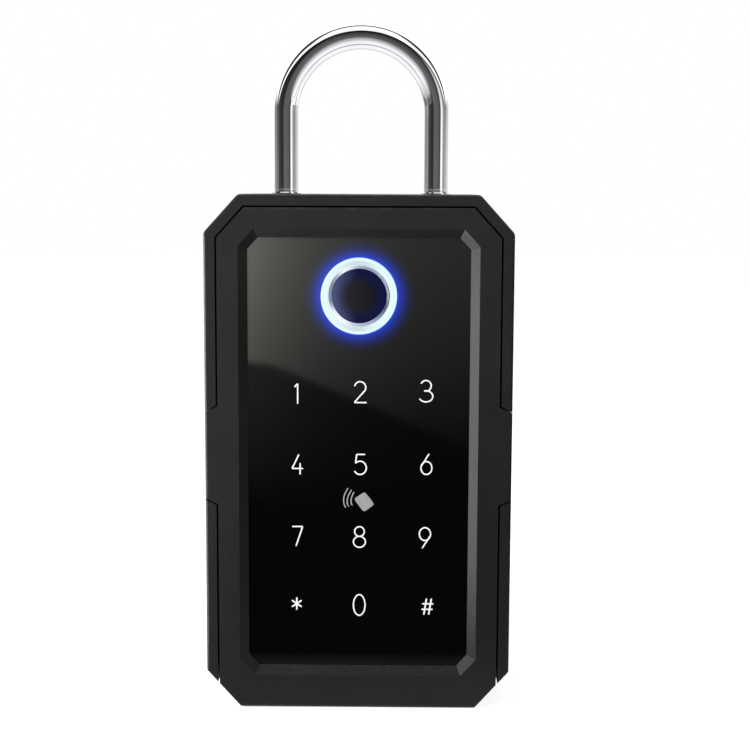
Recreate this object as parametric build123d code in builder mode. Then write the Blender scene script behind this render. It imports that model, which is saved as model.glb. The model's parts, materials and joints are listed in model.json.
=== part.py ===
from build123d import *
import os
from math import atan2, cos, hypot, pi, radians, sin, sqrt, tan

# Smart key box: a bottom-hinged keypad door on a cast case, hung by a lift-out shackle.
# Millimetres, +Z up, front towards -Y, origin under the middle of the flat base.

os.makedirs("parts", exist_ok=True)

# Body, the closed outline that the case and the door are both cut from
body_width = 85.0
body_depth = 45.0
body_height = 144.0
corner_width = 9.5
corner_height = 10.5
top_corner_round = 2.0
bottom_corner_round = 1.0
edge_round = 0.8

# Fits and clearances
door_gap = 0.5
seat_gap = 0.3
loose_gap = 0.3
slide_fit = 0.1
running_fit = 0.05
thread_gap = 0.02
over_cut = 2.0
root_overlap = 1.0

# Case
rim_thickness = 3.1
cavity_wall = 6.0
cavity_floor = 12.0
back_thickness = 3.0
blind_wall = 0.6
cavity_corner_round = 2.0
wall_hole_radius = 2.3
wall_head_radius = 5.0
wall_head_depth = 1.0
wall_hole_spacing_x = 56.0
wall_hole_spacing_z = 76.0
wall_hole_drop = 8.0

# Door
door_depth = 20.0
door_wall = 2.0
door_floor = 10.0
back_plate_thickness = 2.0
frame_width = 5.8
bevel_width = 2.4
bevel_depth = 1.9
bevel_land = 0.4
ear_depth = 12.0
ear_root_height = 27.5
ear_tip_height = 24.1
ear_sweep = 40.0
hinge_radius = 4.0

# Hinge
pin_radius = 1.5
lug_radius = 3.7
lug_width = 10.0
lug_centre = 24.0
pin_half_length = 33.0
pin_chamfer = 0.3

# Glass and fingerprint reader
glass_thickness = 1.8
glass_lip = 1.5
reader_from_top = 27.8
halo_outer_radius = 10.5
halo_inner_radius = 8.5
halo_height = 0.5
halo_chamfer = 0.25
bezel_radius = 7.6
bezel_depth = 0.75
bezel_lip = 0.15
reader_thickness = 2.0
reader_recess = 0.1
reader_edge = 0.2
module_depth = 3.4
module_flange = 1.0
module_flange_radius = 10.0

# Keypad board
board_thickness = 1.6
board_width = 60.0
board_bottom = 15.0
board_from_top = 14.0
board_corner = 5.0
processor_size = 9.0
processor_depth = 1.0
processor_z = 88.0
radio_width = 10.0
radio_height = 14.0
radio_depth = 2.0
radio_x = 17.0
radio_z = 90.0
plug_width = 12.0
plug_height = 3.0
plug_depth = 2.4
plug_z = 77.0
motor_plug_size = 10.0
motor_plug_width = 4.0
motor_plug_x = -24.0
motor_plug_drop = 18.0
buzzer_radius = 5.0
buzzer_hole_radius = 1.0
buzzer_height = 3.0
buzzer_x = 22.0
buzzer_drop = 20.0

# Battery bay, four cells side by side
cell_count = 4
cell_radius = 5.25
cell_length = 43.5
nub_radius = 1.9
nub_length = 1.0
cell_pitch = 11.4
contact_room = 2.6
contact_thickness = 0.4
contact_radius = 4.2
bump_radius = 2.4
bump_taper = 20.0
bay_bottom = 17.0
tub_wall = 1.2
tub_floor = 0.9
cover_thickness = 1.0
cover_lip = 3.2
cover_corner = 1.5
cover_screw_inset = 2.9
hollow_width = 16.0
hollow_height = 5.0
hollow_depth = 0.5
hollow_inset = 6.0

# Lock module
lock_half_width = 11.6
lock_x = 0.7
lock_from_top = 13.0
lock_height = 31.0
lock_corner = 1.5
lock_chamfer = 0.6
lock_screw_inset = 2.6
lock_rear_wall = 1.6
lock_side_wall = 1.6
bolt_recess = 0.4
bolt_width = 10.0
bolt_thickness = 4.0
bolt_throw = 6.0
bolt_chamfer = 0.6
gear_module = 0.8
gear_teeth = 12
pressure_angle = 20.0
gear_width = 3.4
gear_rise = 13.5
flank_steps = 4
shaft_radius = 1.5
rack_line = 0.4
rack_addendum = 0.7
rack_dedendum = 1.25
rack_teeth_below = 4
rack_teeth_above = 1
backlash = 0.14
motor_radius = 3.9
motor_length = 15.0
motor_flat = 0.6
gearbox_size = 12.0
gearbox_depth = 7.8
shaft_end_wall = 2.0

# Shackle and what holds it
shackle_radius = 3.5
shackle_half_spacing = 21.75
shackle_lock_gap = 2.9
shackle_rise = 48.4
shackle_insertion = 31.0
groove_depth = 1.2
leg_chamfer = 0.6
block_half_width = 29.0
block_height = 20.0
block_front_wall = 2.5
block_corner = 1.5
block_bore_gap = 0.15
swing_room = 1.0
spacer_thickness = 4.0
spacer_front_gap = 0.3
strike_thickness = 2.0
strike_half_width = 10.8
strike_lip = 1.9
strike_gap = 0.4
strike_edge = 0.6
strike_screw_depth = 3.5
slide_thickness = 1.6
slide_travel = 5.0
slide_depth = 11.0
slide_margin = 2.0
slide_corner = 1.5
slide_notch_gap = 1.0
slide_lock_gap = 1.0
slide_tab_width = 10.0
slide_tab_drop = 10.0
slide_tab_inset = 1.0
slide_tab_corner = 1.2
guide_screw_x = 8.0
guide_screw_offset = 1.9
guide_screw_radius = 1.5
guide_head_radius = 3.1
guide_head_height = 1.6
guide_screw_depth = 4.5
bush_wall = 0.7
bush_height = 0.5
bush_depth = 2.0
bush_chamfer = 0.2

# Key hook
hook_plate_half_width = 20.0
hook_plate_bottom = 86.0
hook_plate_height = 10.0
hook_plate_thickness = 1.5
hook_plate_corner = 2.0
hook_screw_inset = 3.0
hook_width = 3.2
hook_thickness = 1.5
hook_reach = 9.0
hook_bend = 2.5
hook_rise = 3.5
hook_tip_chamfer = 1.0
hook_pitch = 12.0

# Gasket
gasket_inset = 0.6
gasket_width = 1.4
gasket_depth = 1.0
gasket_proud = 0.15
gasket_bottom = 9.8

# Small fasteners
small_screw_radius = 1.2
small_head_radius = 2.3
small_head_height = 1.1
socket_share = 0.8
socket_depth_share = 0.6
boss_screw_depth = 8.0
boss_radius = 3.6
boss_sink = 0.6
boss_end_distance = 18.0
block_screw_x = 8.0
block_screw_drop = 11.5
block_screw_radius = 2.0
block_head_radius = 3.5
block_head_height = 2.2

# Pairing button
button_radius = 2.4
button_flange_radius = 3.6
button_flange = 0.8
button_travel = 0.6
button_sink = 0.4
button_chamfer = 0.4
button_x = -22.0
button_z = 92.0
switch_height = 3.0
switch_size = 6.0

# USB socket
usb_width = 9.0
usb_height = 3.2
usb_length = 7.5
usb_wall = 0.35
usb_back_wall = 1.0
usb_sink = 0.2
usb_tongue_width = 6.3
usb_tongue_thickness = 0.7
usb_front_distance = 6.0

# Corners of small plates and parts
small_corner = 1.0

# Depths worked out from the sizes above
front_y = -body_depth / 2
rear_y = body_depth / 2
door_back_y = front_y + door_depth
seat_y = door_back_y + seat_gap
cavity_back_y = rear_y - back_thickness
plate_front_y = door_back_y - back_plate_thickness
glass_front_y = front_y + bevel_depth + bevel_land
glass_rear_y = glass_front_y + glass_thickness
board_front_y = glass_rear_y + loose_gap
board_rear_y = board_front_y + board_thickness
door_inset = rim_thickness + door_gap
window_inset = door_inset + frame_width
view_inset = window_inset + bevel_width
bolt_front_y = seat_y + spacer_front_gap + strike_lip + strike_gap
bolt_rear_y = bolt_front_y + bolt_thickness
lock_joint_y = bolt_front_y - slide_fit
lock_rear_y = bolt_rear_y + slide_fit + lock_rear_wall
block_recess_y = lock_rear_y + strike_gap
shackle_y = lock_rear_y + shackle_lock_gap
block_front_y = shackle_y - shackle_radius - block_front_wall
block_rear_y = cavity_back_y
guide_screw_y = shackle_y + guide_screw_offset
usb_y = front_y + usb_front_distance

# Heights worked out from the sizes above
reader_height = body_height - reader_from_top
board_top = body_height - board_from_top
buzzer_z = board_top - buzzer_drop
motor_plug_z = board_top - motor_plug_drop
lock_top = body_height - lock_from_top
lock_bottom = lock_top - lock_height
lock_middle_z = (lock_bottom + lock_top) / 2
gear_axis_height = lock_bottom + gear_rise
block_top = body_height - cavity_wall
block_bottom = block_top - block_height
spacer_bottom = block_top - spacer_thickness
block_screw_z = block_top - block_screw_drop
wall_hole_centre_z = body_height / 2 - wall_hole_drop

# Hinge axis, concentric with the rounded lower back edge of the door
hinge_y = door_back_y - hinge_radius
hinge_z = hinge_radius
hinge_plane = Plane(origin=(0, hinge_y, hinge_z), x_dir=(1, 0, 0), z_dir=(0, -1, 0))
hinge_axis = Axis((0, hinge_y, hinge_z), (1, 0, 0))
bar_top = hinge_z + hinge_radius + loose_gap


def front_plane(y):
    """Plane at depth y, drawn on in x and z, whose normal points to the front."""
    return Plane.XZ.offset(-y)


def corner_cuts(inset):
    """Width and height of the corner cut of an outline that lies inset inside the body's."""
    shrink = corner_width + corner_height - hypot(corner_width, corner_height)
    return corner_width - inset * shrink / corner_height, corner_height - inset * shrink / corner_width


def full_outline(inset, top_round=0.0, bottom_round=0.0):
    """The body's eight-sided outline moved inwards by inset, with its corners rounded."""
    half = body_width / 2 - inset
    low, high = inset, body_height - inset
    cut_x, cut_z = corner_cuts(inset)
    with BuildSketch() as shape:
        with BuildLine():
            Polyline(
                (-half, low + cut_z), (-half, high - cut_z), (-half + cut_x, high),
                (half - cut_x, high), (half, high - cut_z), (half, low + cut_z),
                (half - cut_x, low), (-half + cut_x, low), close=True,
            )
        make_face()
        middle = body_height / 2
        if top_round > 0:
            fillet(shape.vertices().filter_by(lambda v: v.Y > middle), radius=top_round)
        if bottom_round > 0:
            fillet(shape.vertices().filter_by(lambda v: v.Y < middle), radius=bottom_round)
    return shape.sketch


def panel_outline(inset, floor, corner_round=0.0):
    """Outline moved inwards by inset at its sides and top, with straight sides down to floor."""
    half = body_width / 2 - inset
    high = body_height - inset
    cut_x, cut_z = corner_cuts(inset)
    with BuildSketch() as shape:
        with BuildLine():
            Polyline(
                (-half, floor), (-half, high - cut_z), (-half + cut_x, high),
                (half - cut_x, high), (half, high - cut_z), (half, floor), close=True,
            )
        make_face()
        if corner_round > 0:
            fillet(shape.vertices(), radius=corner_round)
    return shape.sketch


def ear_pair(clearance, depth):
    """The door's two grip ears, turned about the hinge axis so that they leave their notches freely."""
    reach = hinge_y - front_y
    middle = body_height / 2 - hinge_z
    side = body_width / 2 - door_inset
    root_low, root_high = middle - ear_root_height / 2, middle + ear_root_height / 2
    tip_low, tip_high = middle - ear_tip_height / 2, middle + ear_tip_height / 2
    low_root = hypot(root_low, reach) - clearance
    low_tip = hypot(tip_low, reach) - clearance
    high_root = hypot(root_high, reach) + clearance
    high_tip = hypot(tip_high, reach) + clearance
    tip = body_width / 2
    outside = tip + over_cut
    inside = side - over_cut
    with BuildPart() as ears:
        with BuildSketch(hinge_plane):
            for mirror_side in (1, -1):
                with BuildLine():
                    Polyline(
                        (mirror_side * inside, low_root), (mirror_side * side, low_root),
                        (mirror_side * tip, low_tip), (mirror_side * outside, low_tip),
                        (mirror_side * outside, high_tip), (mirror_side * tip, high_tip),
                        (mirror_side * side, high_root), (mirror_side * inside, high_root),
                        close=True,
                    )
                make_face()
        revolve(axis=hinge_axis, revolution_arc=ear_sweep)
        with BuildSketch(front_plane(front_y + depth)):
            with Locations((0, body_height / 2)):
                Rectangle(2 * outside, body_height)
        extrude(amount=depth + over_cut, mode=Mode.INTERSECT)
    return ears.part


def socket_screw(radius, length, head_radius, head_height):
    """Flat-topped screw with a hexagon socket; the head's underside is at z 0 and the shank runs down."""
    with BuildPart() as screw:
        with BuildSketch():
            Circle(head_radius)
        extrude(amount=head_height)
        with BuildSketch(Plane.XY.offset(head_height)):
            RegularPolygon(radius * socket_share, 6)
        extrude(amount=-head_height * socket_depth_share, mode=Mode.SUBTRACT)
        with BuildSketch(Plane.XY):
            Circle(radius)
        extrude(amount=-length)
    return screw.part


def write_part(part, name):
    """Name a finished piece and write it to its own file."""
    part.label = name
    export_step(part, f"parts/{name}.step")


# Closed body, cut later into case and door
with BuildPart() as body_form:
    with BuildSketch(front_plane(rear_y)):
        add(full_outline(0, top_corner_round, bottom_corner_round))
    extrude(amount=body_depth)
    fillet(body_form.faces().sort_by(Axis.Y)[0].edges(), radius=edge_round)
    fillet(body_form.faces().sort_by(Axis.Y)[-1].edges(), radius=edge_round)

# Case: door recess, key cavity, ear notches, hinge lugs, shackle holes and wall screw holes
block_screw_places = [(-block_screw_x, block_screw_z), (block_screw_x, block_screw_z)]
hook_plate_middle = hook_plate_bottom + hook_plate_height / 2
hook_screw_places = [
    (side * (hook_plate_half_width - hook_screw_inset), hook_plate_middle) for side in (-1, 1)
]
wall_hole_places = [
    (side * wall_hole_spacing_x / 2, wall_hole_centre_z + level * wall_hole_spacing_z / 2)
    for side in (-1, 1) for level in (-1, 1)
]
bolt_middle_y = bolt_front_y + bolt_thickness / 2
strike_screw_x = strike_half_width - small_head_radius - slide_fit - strike_edge
strike_screw_places = [(-strike_screw_x, bolt_middle_y), (strike_screw_x, bolt_middle_y)]
lug_places = (-lug_centre, lug_centre)
bush_radius = shackle_radius + running_fit + bush_wall

with BuildPart() as rear_case:
    add(body_form.part)
    with BuildSketch(front_plane(seat_y)):
        add(panel_outline(rim_thickness, -over_cut))
    extrude(amount=door_depth + over_cut, mode=Mode.SUBTRACT)
    with BuildSketch(front_plane(cavity_back_y)):
        add(panel_outline(cavity_wall, cavity_floor, cavity_corner_round))
    extrude(amount=cavity_back_y - seat_y + over_cut, mode=Mode.SUBTRACT)
    add(ear_pair(door_gap, ear_depth + door_gap), mode=Mode.SUBTRACT)
    # Hinge lugs reach forward from the bottom wall to the axis
    for lug_x in lug_places:
        with BuildSketch(Plane.YZ.offset(lug_x - lug_width / 2)):
            with Locations((hinge_y, hinge_z)):
                Circle(lug_radius)
            with Locations(((hinge_y + seat_y + root_overlap) / 2, hinge_z)):
                Rectangle(seat_y + root_overlap - hinge_y, 2 * lug_radius)
        extrude(amount=lug_width)
    with Locations(Plane(origin=(0, hinge_y, hinge_z), z_dir=(1, 0, 0))):
        Cylinder(pin_radius + thread_gap, body_width, mode=Mode.SUBTRACT)
    # Shackle holes with a counterbore for each bush
    with BuildSketch(Plane.XY.offset(body_height)):
        with Locations((-shackle_half_spacing, shackle_y), (shackle_half_spacing, shackle_y)):
            Circle(shackle_radius + block_bore_gap)
    extrude(amount=-(cavity_wall + over_cut), mode=Mode.SUBTRACT)
    with BuildSketch(Plane.XY.offset(body_height)):
        with Locations((-shackle_half_spacing, shackle_y), (shackle_half_spacing, shackle_y)):
            Circle(bush_radius + thread_gap)
    extrude(amount=-bush_depth, mode=Mode.SUBTRACT)
    # Wall screw holes, sunk from inside
    with BuildSketch(front_plane(rear_y)):
        with Locations(*wall_hole_places):
            Circle(wall_hole_radius)
    extrude(amount=back_thickness + over_cut, mode=Mode.SUBTRACT)
    with BuildSketch(front_plane(cavity_back_y + wall_head_depth)):
        with Locations(*wall_hole_places):
            Circle(wall_head_radius)
    extrude(amount=wall_head_depth + over_cut, mode=Mode.SUBTRACT)
    # Blind holes for the screws of the shackle block and the key hook
    with BuildSketch(front_plane(rear_y - blind_wall)):
        with Locations(*block_screw_places):
            Circle(block_screw_radius + thread_gap)
        with Locations(*hook_screw_places):
            Circle(small_screw_radius + thread_gap)
    extrude(amount=back_thickness - blind_wall, mode=Mode.SUBTRACT)
    # Blind holes in the top wall for the strike screws
    with BuildSketch(Plane.XY.offset(block_top)):
        with Locations(*strike_screw_places):
            Circle(small_screw_radius + thread_gap)
    extrude(amount=strike_screw_depth + thread_gap, mode=Mode.SUBTRACT)

# Shackle bushes, the bright collars at the foot of each leg
with BuildPart() as shackle_bushes:
    with BuildSketch(Plane.XY.offset(body_height - bush_depth)):
        with Locations((-shackle_half_spacing, shackle_y), (shackle_half_spacing, shackle_y)):
            Circle(bush_radius)
            Circle(shackle_radius + running_fit, mode=Mode.SUBTRACT)
    extrude(amount=bush_depth + bush_height)
    chamfer(
        shackle_bushes.edges().filter_by(GeomType.CIRCLE).group_by(Axis.Z)[-1].sort_by(SortBy.RADIUS)[-2:],
        length=bush_chamfer,
    )

# Shackle: a round bar bent into an arch, with a locking groove near the end of each leg
leg_bottom = body_height - shackle_insertion
arch_z = body_height + shackle_rise - shackle_radius - shackle_half_spacing
slide_top = block_bottom - slide_fit
slide_bottom = slide_top - slide_thickness
groove_radius = shackle_radius - groove_depth

with BuildPart() as shackle:
    with BuildLine():
        leg_up = Line(
            (-shackle_half_spacing, shackle_y, leg_bottom), (-shackle_half_spacing, shackle_y, arch_z)
        )
        arch = ThreePointArc(
            leg_up @ 1, (0, shackle_y, arch_z + shackle_half_spacing),
            (shackle_half_spacing, shackle_y, arch_z),
        )
        Line(arch @ 1, (shackle_half_spacing, shackle_y, leg_bottom))
    with BuildSketch(Plane.XY.offset(leg_bottom)):
        with Locations((-shackle_half_spacing, shackle_y)):
            Circle(shackle_radius)
    sweep()
    with BuildSketch(Plane.XY.offset(slide_bottom - loose_gap)):
        with Locations((-shackle_half_spacing, shackle_y), (shackle_half_spacing, shackle_y)):
            Circle(shackle_radius + over_cut)
            Circle(groove_radius, mode=Mode.SUBTRACT)
    extrude(amount=slide_thickness + 2 * loose_gap, mode=Mode.SUBTRACT)
    chamfer(shackle.edges().group_by(Axis.Z)[0], length=leg_chamfer)

# Shackle block: holds the legs, carries the slide beneath it and is hollowed where the lock case stands
recess_half_width = lock_half_width + swing_room
strike_front_y = seat_y + spacer_front_gap

with BuildPart() as shackle_block:
    with BuildSketch(Plane.XY.offset(block_bottom)):
        with Locations((0, (block_front_y + block_rear_y) / 2)):
            RectangleRounded(2 * block_half_width, block_rear_y - block_front_y, block_corner)
        with Locations((lock_x, block_recess_y - body_depth / 2)):
            Rectangle(2 * recess_half_width, body_depth, mode=Mode.SUBTRACT)
        with Locations((-shackle_half_spacing, shackle_y), (shackle_half_spacing, shackle_y)):
            Circle(shackle_radius + block_bore_gap, mode=Mode.SUBTRACT)
    extrude(amount=block_height)
    # Seats of its two screws, and the threaded holes of the slide's guide screws
    with BuildSketch(front_plane(block_rear_y)):
        with Locations(*block_screw_places):
            Circle(block_screw_radius + loose_gap)
    extrude(amount=block_rear_y - block_recess_y + over_cut, mode=Mode.SUBTRACT)
    with BuildSketch(front_plane(block_recess_y + block_head_height + loose_gap)):
        with Locations(*block_screw_places):
            Circle(block_head_radius + loose_gap)
    extrude(amount=block_head_height + over_cut, mode=Mode.SUBTRACT)
    with BuildSketch(Plane.XY.offset(block_bottom)):
        with Locations((-guide_screw_x, guide_screw_y), (guide_screw_x, guide_screw_y)):
            Circle(guide_screw_radius + thread_gap)
    extrude(amount=guide_screw_depth + thread_gap, mode=Mode.SUBTRACT)

# Strike spacer: hangs under the top wall with a slot that takes the thrown bolt
with BuildPart() as strike_spacer:
    with BuildSketch(Plane.XY.offset(spacer_bottom)):
        with Locations((lock_x, (strike_front_y + block_recess_y) / 2)):
            Rectangle(2 * (recess_half_width - slide_fit), block_recess_y - strike_front_y - thread_gap)
        with Locations((0, bolt_middle_y)):
            Rectangle(bolt_width + 2 * strike_gap, bolt_thickness + 2 * strike_gap, mode=Mode.SUBTRACT)
        with Locations(*strike_screw_places):
            Circle(small_screw_radius + slide_fit, mode=Mode.SUBTRACT)
    extrude(amount=spacer_thickness)

# Strike plate: the bolt stands behind its front lip when thrown
with BuildPart() as strike_plate:
    with BuildSketch(Plane.XY.offset(spacer_bottom - strike_thickness)):
        with Locations((0, (strike_front_y + block_recess_y) / 2)):
            RectangleRounded(
                2 * strike_half_width, block_recess_y - strike_front_y - thread_gap, small_corner
            )
        with Locations((0, bolt_middle_y)):
            Rectangle(bolt_width + 2 * strike_gap, bolt_thickness + 2 * strike_gap, mode=Mode.SUBTRACT)
        with Locations(*strike_screw_places):
            Circle(small_screw_radius + slide_fit, mode=Mode.SUBTRACT)
    extrude(amount=strike_thickness)
    with BuildSketch(Plane.XY.offset(spacer_bottom - strike_thickness)):
        with Locations(*strike_screw_places):
            Circle(small_head_radius + slide_fit)
    extrude(amount=small_head_height + slide_fit, mode=Mode.SUBTRACT)

# Slide: a flat plate whose keyholes grip the shackle grooves, pushed across by a bent tab
slide_hole_radius = shackle_radius + loose_gap
slide_slot_half = groove_radius + loose_gap
slide_left = -shackle_half_spacing - slide_travel - slide_slot_half - slide_margin
slide_right = shackle_half_spacing + slide_hole_radius + slide_margin
slide_front_y = shackle_y - slide_depth / 2
slide_notch_x = lock_x - slide_travel / 2
slide_notch_width = 2 * (lock_half_width + slide_notch_gap) + slide_travel
slide_tab_x = slide_right - slide_tab_width / 2 - slide_tab_inset

with BuildPart() as shackle_slide:
    with BuildSketch(Plane.XY.offset(slide_bottom)):
        with Locations(((slide_left + slide_right) / 2, shackle_y)):
            RectangleRounded(slide_right - slide_left, slide_depth, slide_corner)
        for leg_x in (-shackle_half_spacing, shackle_half_spacing):
            with Locations((leg_x, shackle_y)):
                Circle(slide_hole_radius, mode=Mode.SUBTRACT)
            with Locations((leg_x - slide_travel / 2, shackle_y)):
                SlotCenterToCenter(slide_travel, 2 * slide_slot_half, mode=Mode.SUBTRACT)
        for screw_x in (-guide_screw_x, guide_screw_x):
            with Locations((screw_x - slide_travel / 2, guide_screw_y)):
                SlotCenterToCenter(
                    slide_travel, 2 * (guide_screw_radius + slide_fit), mode=Mode.SUBTRACT
                )
        # Room for the lock case, which stands in front of the plate's middle
        with Locations((slide_notch_x, slide_front_y)):
            Rectangle(
                slide_notch_width, 2 * (lock_rear_y + slide_lock_gap - slide_front_y), mode=Mode.SUBTRACT
            )
    extrude(amount=slide_thickness)
    with BuildSketch(Plane.XZ.offset(-slide_front_y - slide_thickness)):
        with Locations((slide_tab_x, slide_bottom - slide_tab_drop / 2 + slide_thickness / 2)):
            RectangleRounded(slide_tab_width, slide_tab_drop + slide_thickness, slide_tab_corner)
    extrude(amount=slide_thickness)

with BuildPart() as slide_screws:
    with Locations(
        Location((-guide_screw_x, guide_screw_y, slide_bottom - slide_fit), (180, 0, 0)),
        Location((guide_screw_x, guide_screw_y, slide_bottom - slide_fit), (180, 0, 0)),
    ):
        add(socket_screw(
            guide_screw_radius, guide_screw_depth + slide_thickness + 2 * slide_fit,
            guide_head_radius, guide_head_height,
        ))

with BuildPart() as strike_screws:
    head_seat = spacer_bottom - strike_thickness + small_head_height + slide_fit
    with Locations(*[Location((x, y, head_seat), (180, 0, 0)) for x, y in strike_screw_places]):
        add(socket_screw(
            small_screw_radius, block_top - head_seat + strike_screw_depth,
            small_head_radius, small_head_height,
        ))

with BuildPart() as block_screws:
    head_seat = block_recess_y + block_head_height + loose_gap
    with Locations(*[Location((x, head_seat, z), (90, 0, 0)) for x, z in block_screw_places]):
        add(socket_screw(
            block_screw_radius, rear_y - blind_wall - head_seat - thread_gap,
            block_head_radius, block_head_height,
        ))

# Key hook: a screwed strip with three bent tabs
hook_face_y = cavity_back_y - hook_plate_thickness
hook_under_z = hook_plate_middle - hook_thickness / 2
hook_outer_bend = hook_bend + hook_thickness / 2
hook_bend_y = hook_face_y - hook_reach + hook_outer_bend
hook_tip_z = hook_under_z + hook_outer_bend + hook_rise

with BuildPart() as key_hook:
    with BuildSketch(front_plane(cavity_back_y)):
        with Locations((0, hook_plate_middle)):
            RectangleRounded(2 * hook_plate_half_width, hook_plate_height, hook_plate_corner)
        with Locations(*hook_screw_places):
            Circle(small_screw_radius + slide_fit, mode=Mode.SUBTRACT)
    extrude(amount=hook_plate_thickness)
    for hook_index in (-1, 0, 1):
        with BuildSketch(Plane.YZ.offset(hook_index * hook_pitch - hook_width / 2)):
            with BuildLine():
                under = Line((hook_face_y + root_overlap, hook_under_z), (hook_bend_y, hook_under_z))
                outer = JernArc(under @ 1, (-1, 0), hook_outer_bend, -90)
                front = Line(outer @ 1, (hook_bend_y - hook_outer_bend, hook_tip_z))
                tip = Line(front @ 1, (hook_bend_y - hook_outer_bend + hook_thickness, hook_tip_z))
                back = Line(tip @ 1, (hook_bend_y - hook_outer_bend + hook_thickness, (outer @ 1).Y))
                inner = JernArc(back @ 1, (0, -1), hook_outer_bend - hook_thickness, 90)
                Polyline(
                    inner @ 1, (hook_face_y + root_overlap, hook_under_z + hook_thickness), under @ 0
                )
            make_face()
        extrude(amount=hook_width)
    chamfer(
        key_hook.faces().filter_by(Axis.Z).sort_by(Axis.Y)[:3].edges().filter_by(Axis.Y),
        length=hook_tip_chamfer,
    )

with BuildPart() as hook_screws:
    with Locations(*[
        Location((x, cavity_back_y - hook_plate_thickness, z), (90, 0, 0)) for x, z in hook_screw_places
    ]):
        add(socket_screw(
            small_screw_radius, hook_plate_thickness + back_thickness - blind_wall - thread_gap,
            small_head_radius, small_head_height,
        ))

with BuildPart() as hinge_pin:
    with Locations(Plane(origin=(0, hinge_y, hinge_z), z_dir=(1, 0, 0))):
        Cylinder(pin_radius, 2 * pin_half_length)
    chamfer(hinge_pin.edges().filter_by(GeomType.CIRCLE), length=pin_chamfer)

# Door frame: the front of the body with window, ears, glass seat, screw bosses and hinge bar
interior_inset = door_inset + door_wall
interior_half = body_width / 2 - interior_inset
boss_x = interior_half - boss_radius + boss_sink
boss_levels = (boss_end_distance, body_height / 2, body_height - boss_end_distance)
boss_places = [(side * boss_x, z) for side in (-1, 1) for z in boss_levels]
glass_inset = view_inset - glass_lip

with BuildPart() as door_ears:
    add(ear_pair(0, ear_depth))
    add(body_form.part, mode=Mode.INTERSECT)

with BuildPart() as door_frame:
    add(body_form.part)
    with BuildSketch(front_plane(door_back_y)):
        add(panel_outline(door_inset, -over_cut))
    extrude(amount=door_depth + over_cut, mode=Mode.INTERSECT)
    add(door_ears.part)
    # Window with its bevelled edge, a narrow land and the seat of the glass
    with BuildSketch(front_plane(front_y)):
        add(full_outline(window_inset))
    with BuildSketch(front_plane(front_y + bevel_depth)):
        add(full_outline(view_inset))
    loft(ruled=True, mode=Mode.SUBTRACT)
    with BuildSketch(front_plane(glass_rear_y)):
        add(full_outline(view_inset))
    extrude(amount=door_depth, mode=Mode.SUBTRACT)
    with BuildSketch(front_plane(glass_rear_y)):
        add(full_outline(glass_inset))
    extrude(amount=glass_thickness, mode=Mode.SUBTRACT)
    # Room behind the front wall, and the step that the back plate sits on
    with BuildSketch(front_plane(door_back_y)):
        add(panel_outline(interior_inset, door_floor, small_corner))
    extrude(amount=door_back_y - glass_rear_y, mode=Mode.SUBTRACT)
    with BuildSketch(front_plane(glass_rear_y)):
        with Locations(*boss_places):
            Circle(boss_radius)
    extrude(amount=glass_rear_y - plate_front_y)
    with BuildSketch(front_plane(door_back_y)):
        with Locations((0, bar_top + body_height / 2)):
            Rectangle(body_width, body_height)
    extrude(amount=back_plate_thickness, mode=Mode.SUBTRACT)
    with BuildSketch(front_plane(plate_front_y)):
        with Locations(*boss_places):
            Circle(small_screw_radius + thread_gap)
    extrude(amount=boss_screw_depth + thread_gap, mode=Mode.SUBTRACT)
    # Lower back edge rounded about the hinge axis
    with BuildSketch(Plane.YZ):
        with Locations((door_back_y - hinge_radius / 2, hinge_z - hinge_radius / 2)):
            Rectangle(hinge_radius, hinge_radius)
        with Locations((hinge_y, hinge_z)):
            Circle(hinge_radius, mode=Mode.SUBTRACT)
    extrude(amount=body_width, both=True, mode=Mode.SUBTRACT)
    # Notches for the case's hinge lugs, and the bore of the pin
    notch = hinge_radius + loose_gap
    for lug_x in lug_places:
        with BuildSketch(Plane.YZ.offset(lug_x - lug_width / 2 - loose_gap)):
            with Locations((hinge_y - notch + body_depth / 2, hinge_z + notch - body_depth / 2)):
                Rectangle(body_depth, body_depth)
        extrude(amount=lug_width + 2 * loose_gap, mode=Mode.SUBTRACT)
    with Locations(Plane(origin=(-over_cut, hinge_y, hinge_z), z_dir=(1, 0, 0))):
        Cylinder(pin_radius + running_fit, 2 * (pin_half_length + over_cut + loose_gap), mode=Mode.SUBTRACT)
    # Pocket for the USB socket
    with BuildSketch(Plane.XY):
        with Locations((0, usb_y)):
            SlotOverall(usb_width + 2 * slide_fit, usb_height + 2 * slide_fit)
    extrude(amount=door_floor + over_cut, mode=Mode.SUBTRACT)

# Keypad glass, with a round hole for the fingerprint reader
with BuildPart() as keypad_glass:
    with BuildSketch(front_plane(glass_rear_y)):
        add(full_outline(glass_inset + slide_fit))
        with Locations((0, reader_height)):
            Circle(halo_outer_radius + slide_fit, mode=Mode.SUBTRACT)
    extrude(amount=glass_thickness)

# Light ring round the reader, standing a little proud of the glass
halo_front_y = glass_front_y - halo_height
with BuildPart() as light_ring:
    with BuildSketch(front_plane(board_front_y)):
        with Locations((0, reader_height)):
            Circle(halo_outer_radius)
            Circle(halo_inner_radius, mode=Mode.SUBTRACT)
    extrude(amount=board_front_y - halo_front_y)
    chamfer(light_ring.edges().filter_by(GeomType.CIRCLE).group_by(Axis.Y)[0], length=halo_chamfer)

# Metal bezel with a chamfered bore, and the reader disc inside it
bezel_outer_radius = halo_inner_radius - slide_fit
with BuildPart() as reader_bezel:
    with BuildSketch(front_plane(board_front_y)):
        with Locations((0, reader_height)):
            Circle(bezel_outer_radius)
            Circle(bezel_radius, mode=Mode.SUBTRACT)
    extrude(amount=board_front_y - halo_front_y)
    bore_edge = reader_bezel.edges().filter_by(GeomType.CIRCLE).group_by(Axis.Y)[0].sort_by(SortBy.RADIUS)[0]
    chamfer(bore_edge, length=bezel_outer_radius - bezel_radius - bezel_lip, length2=bezel_depth)

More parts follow.
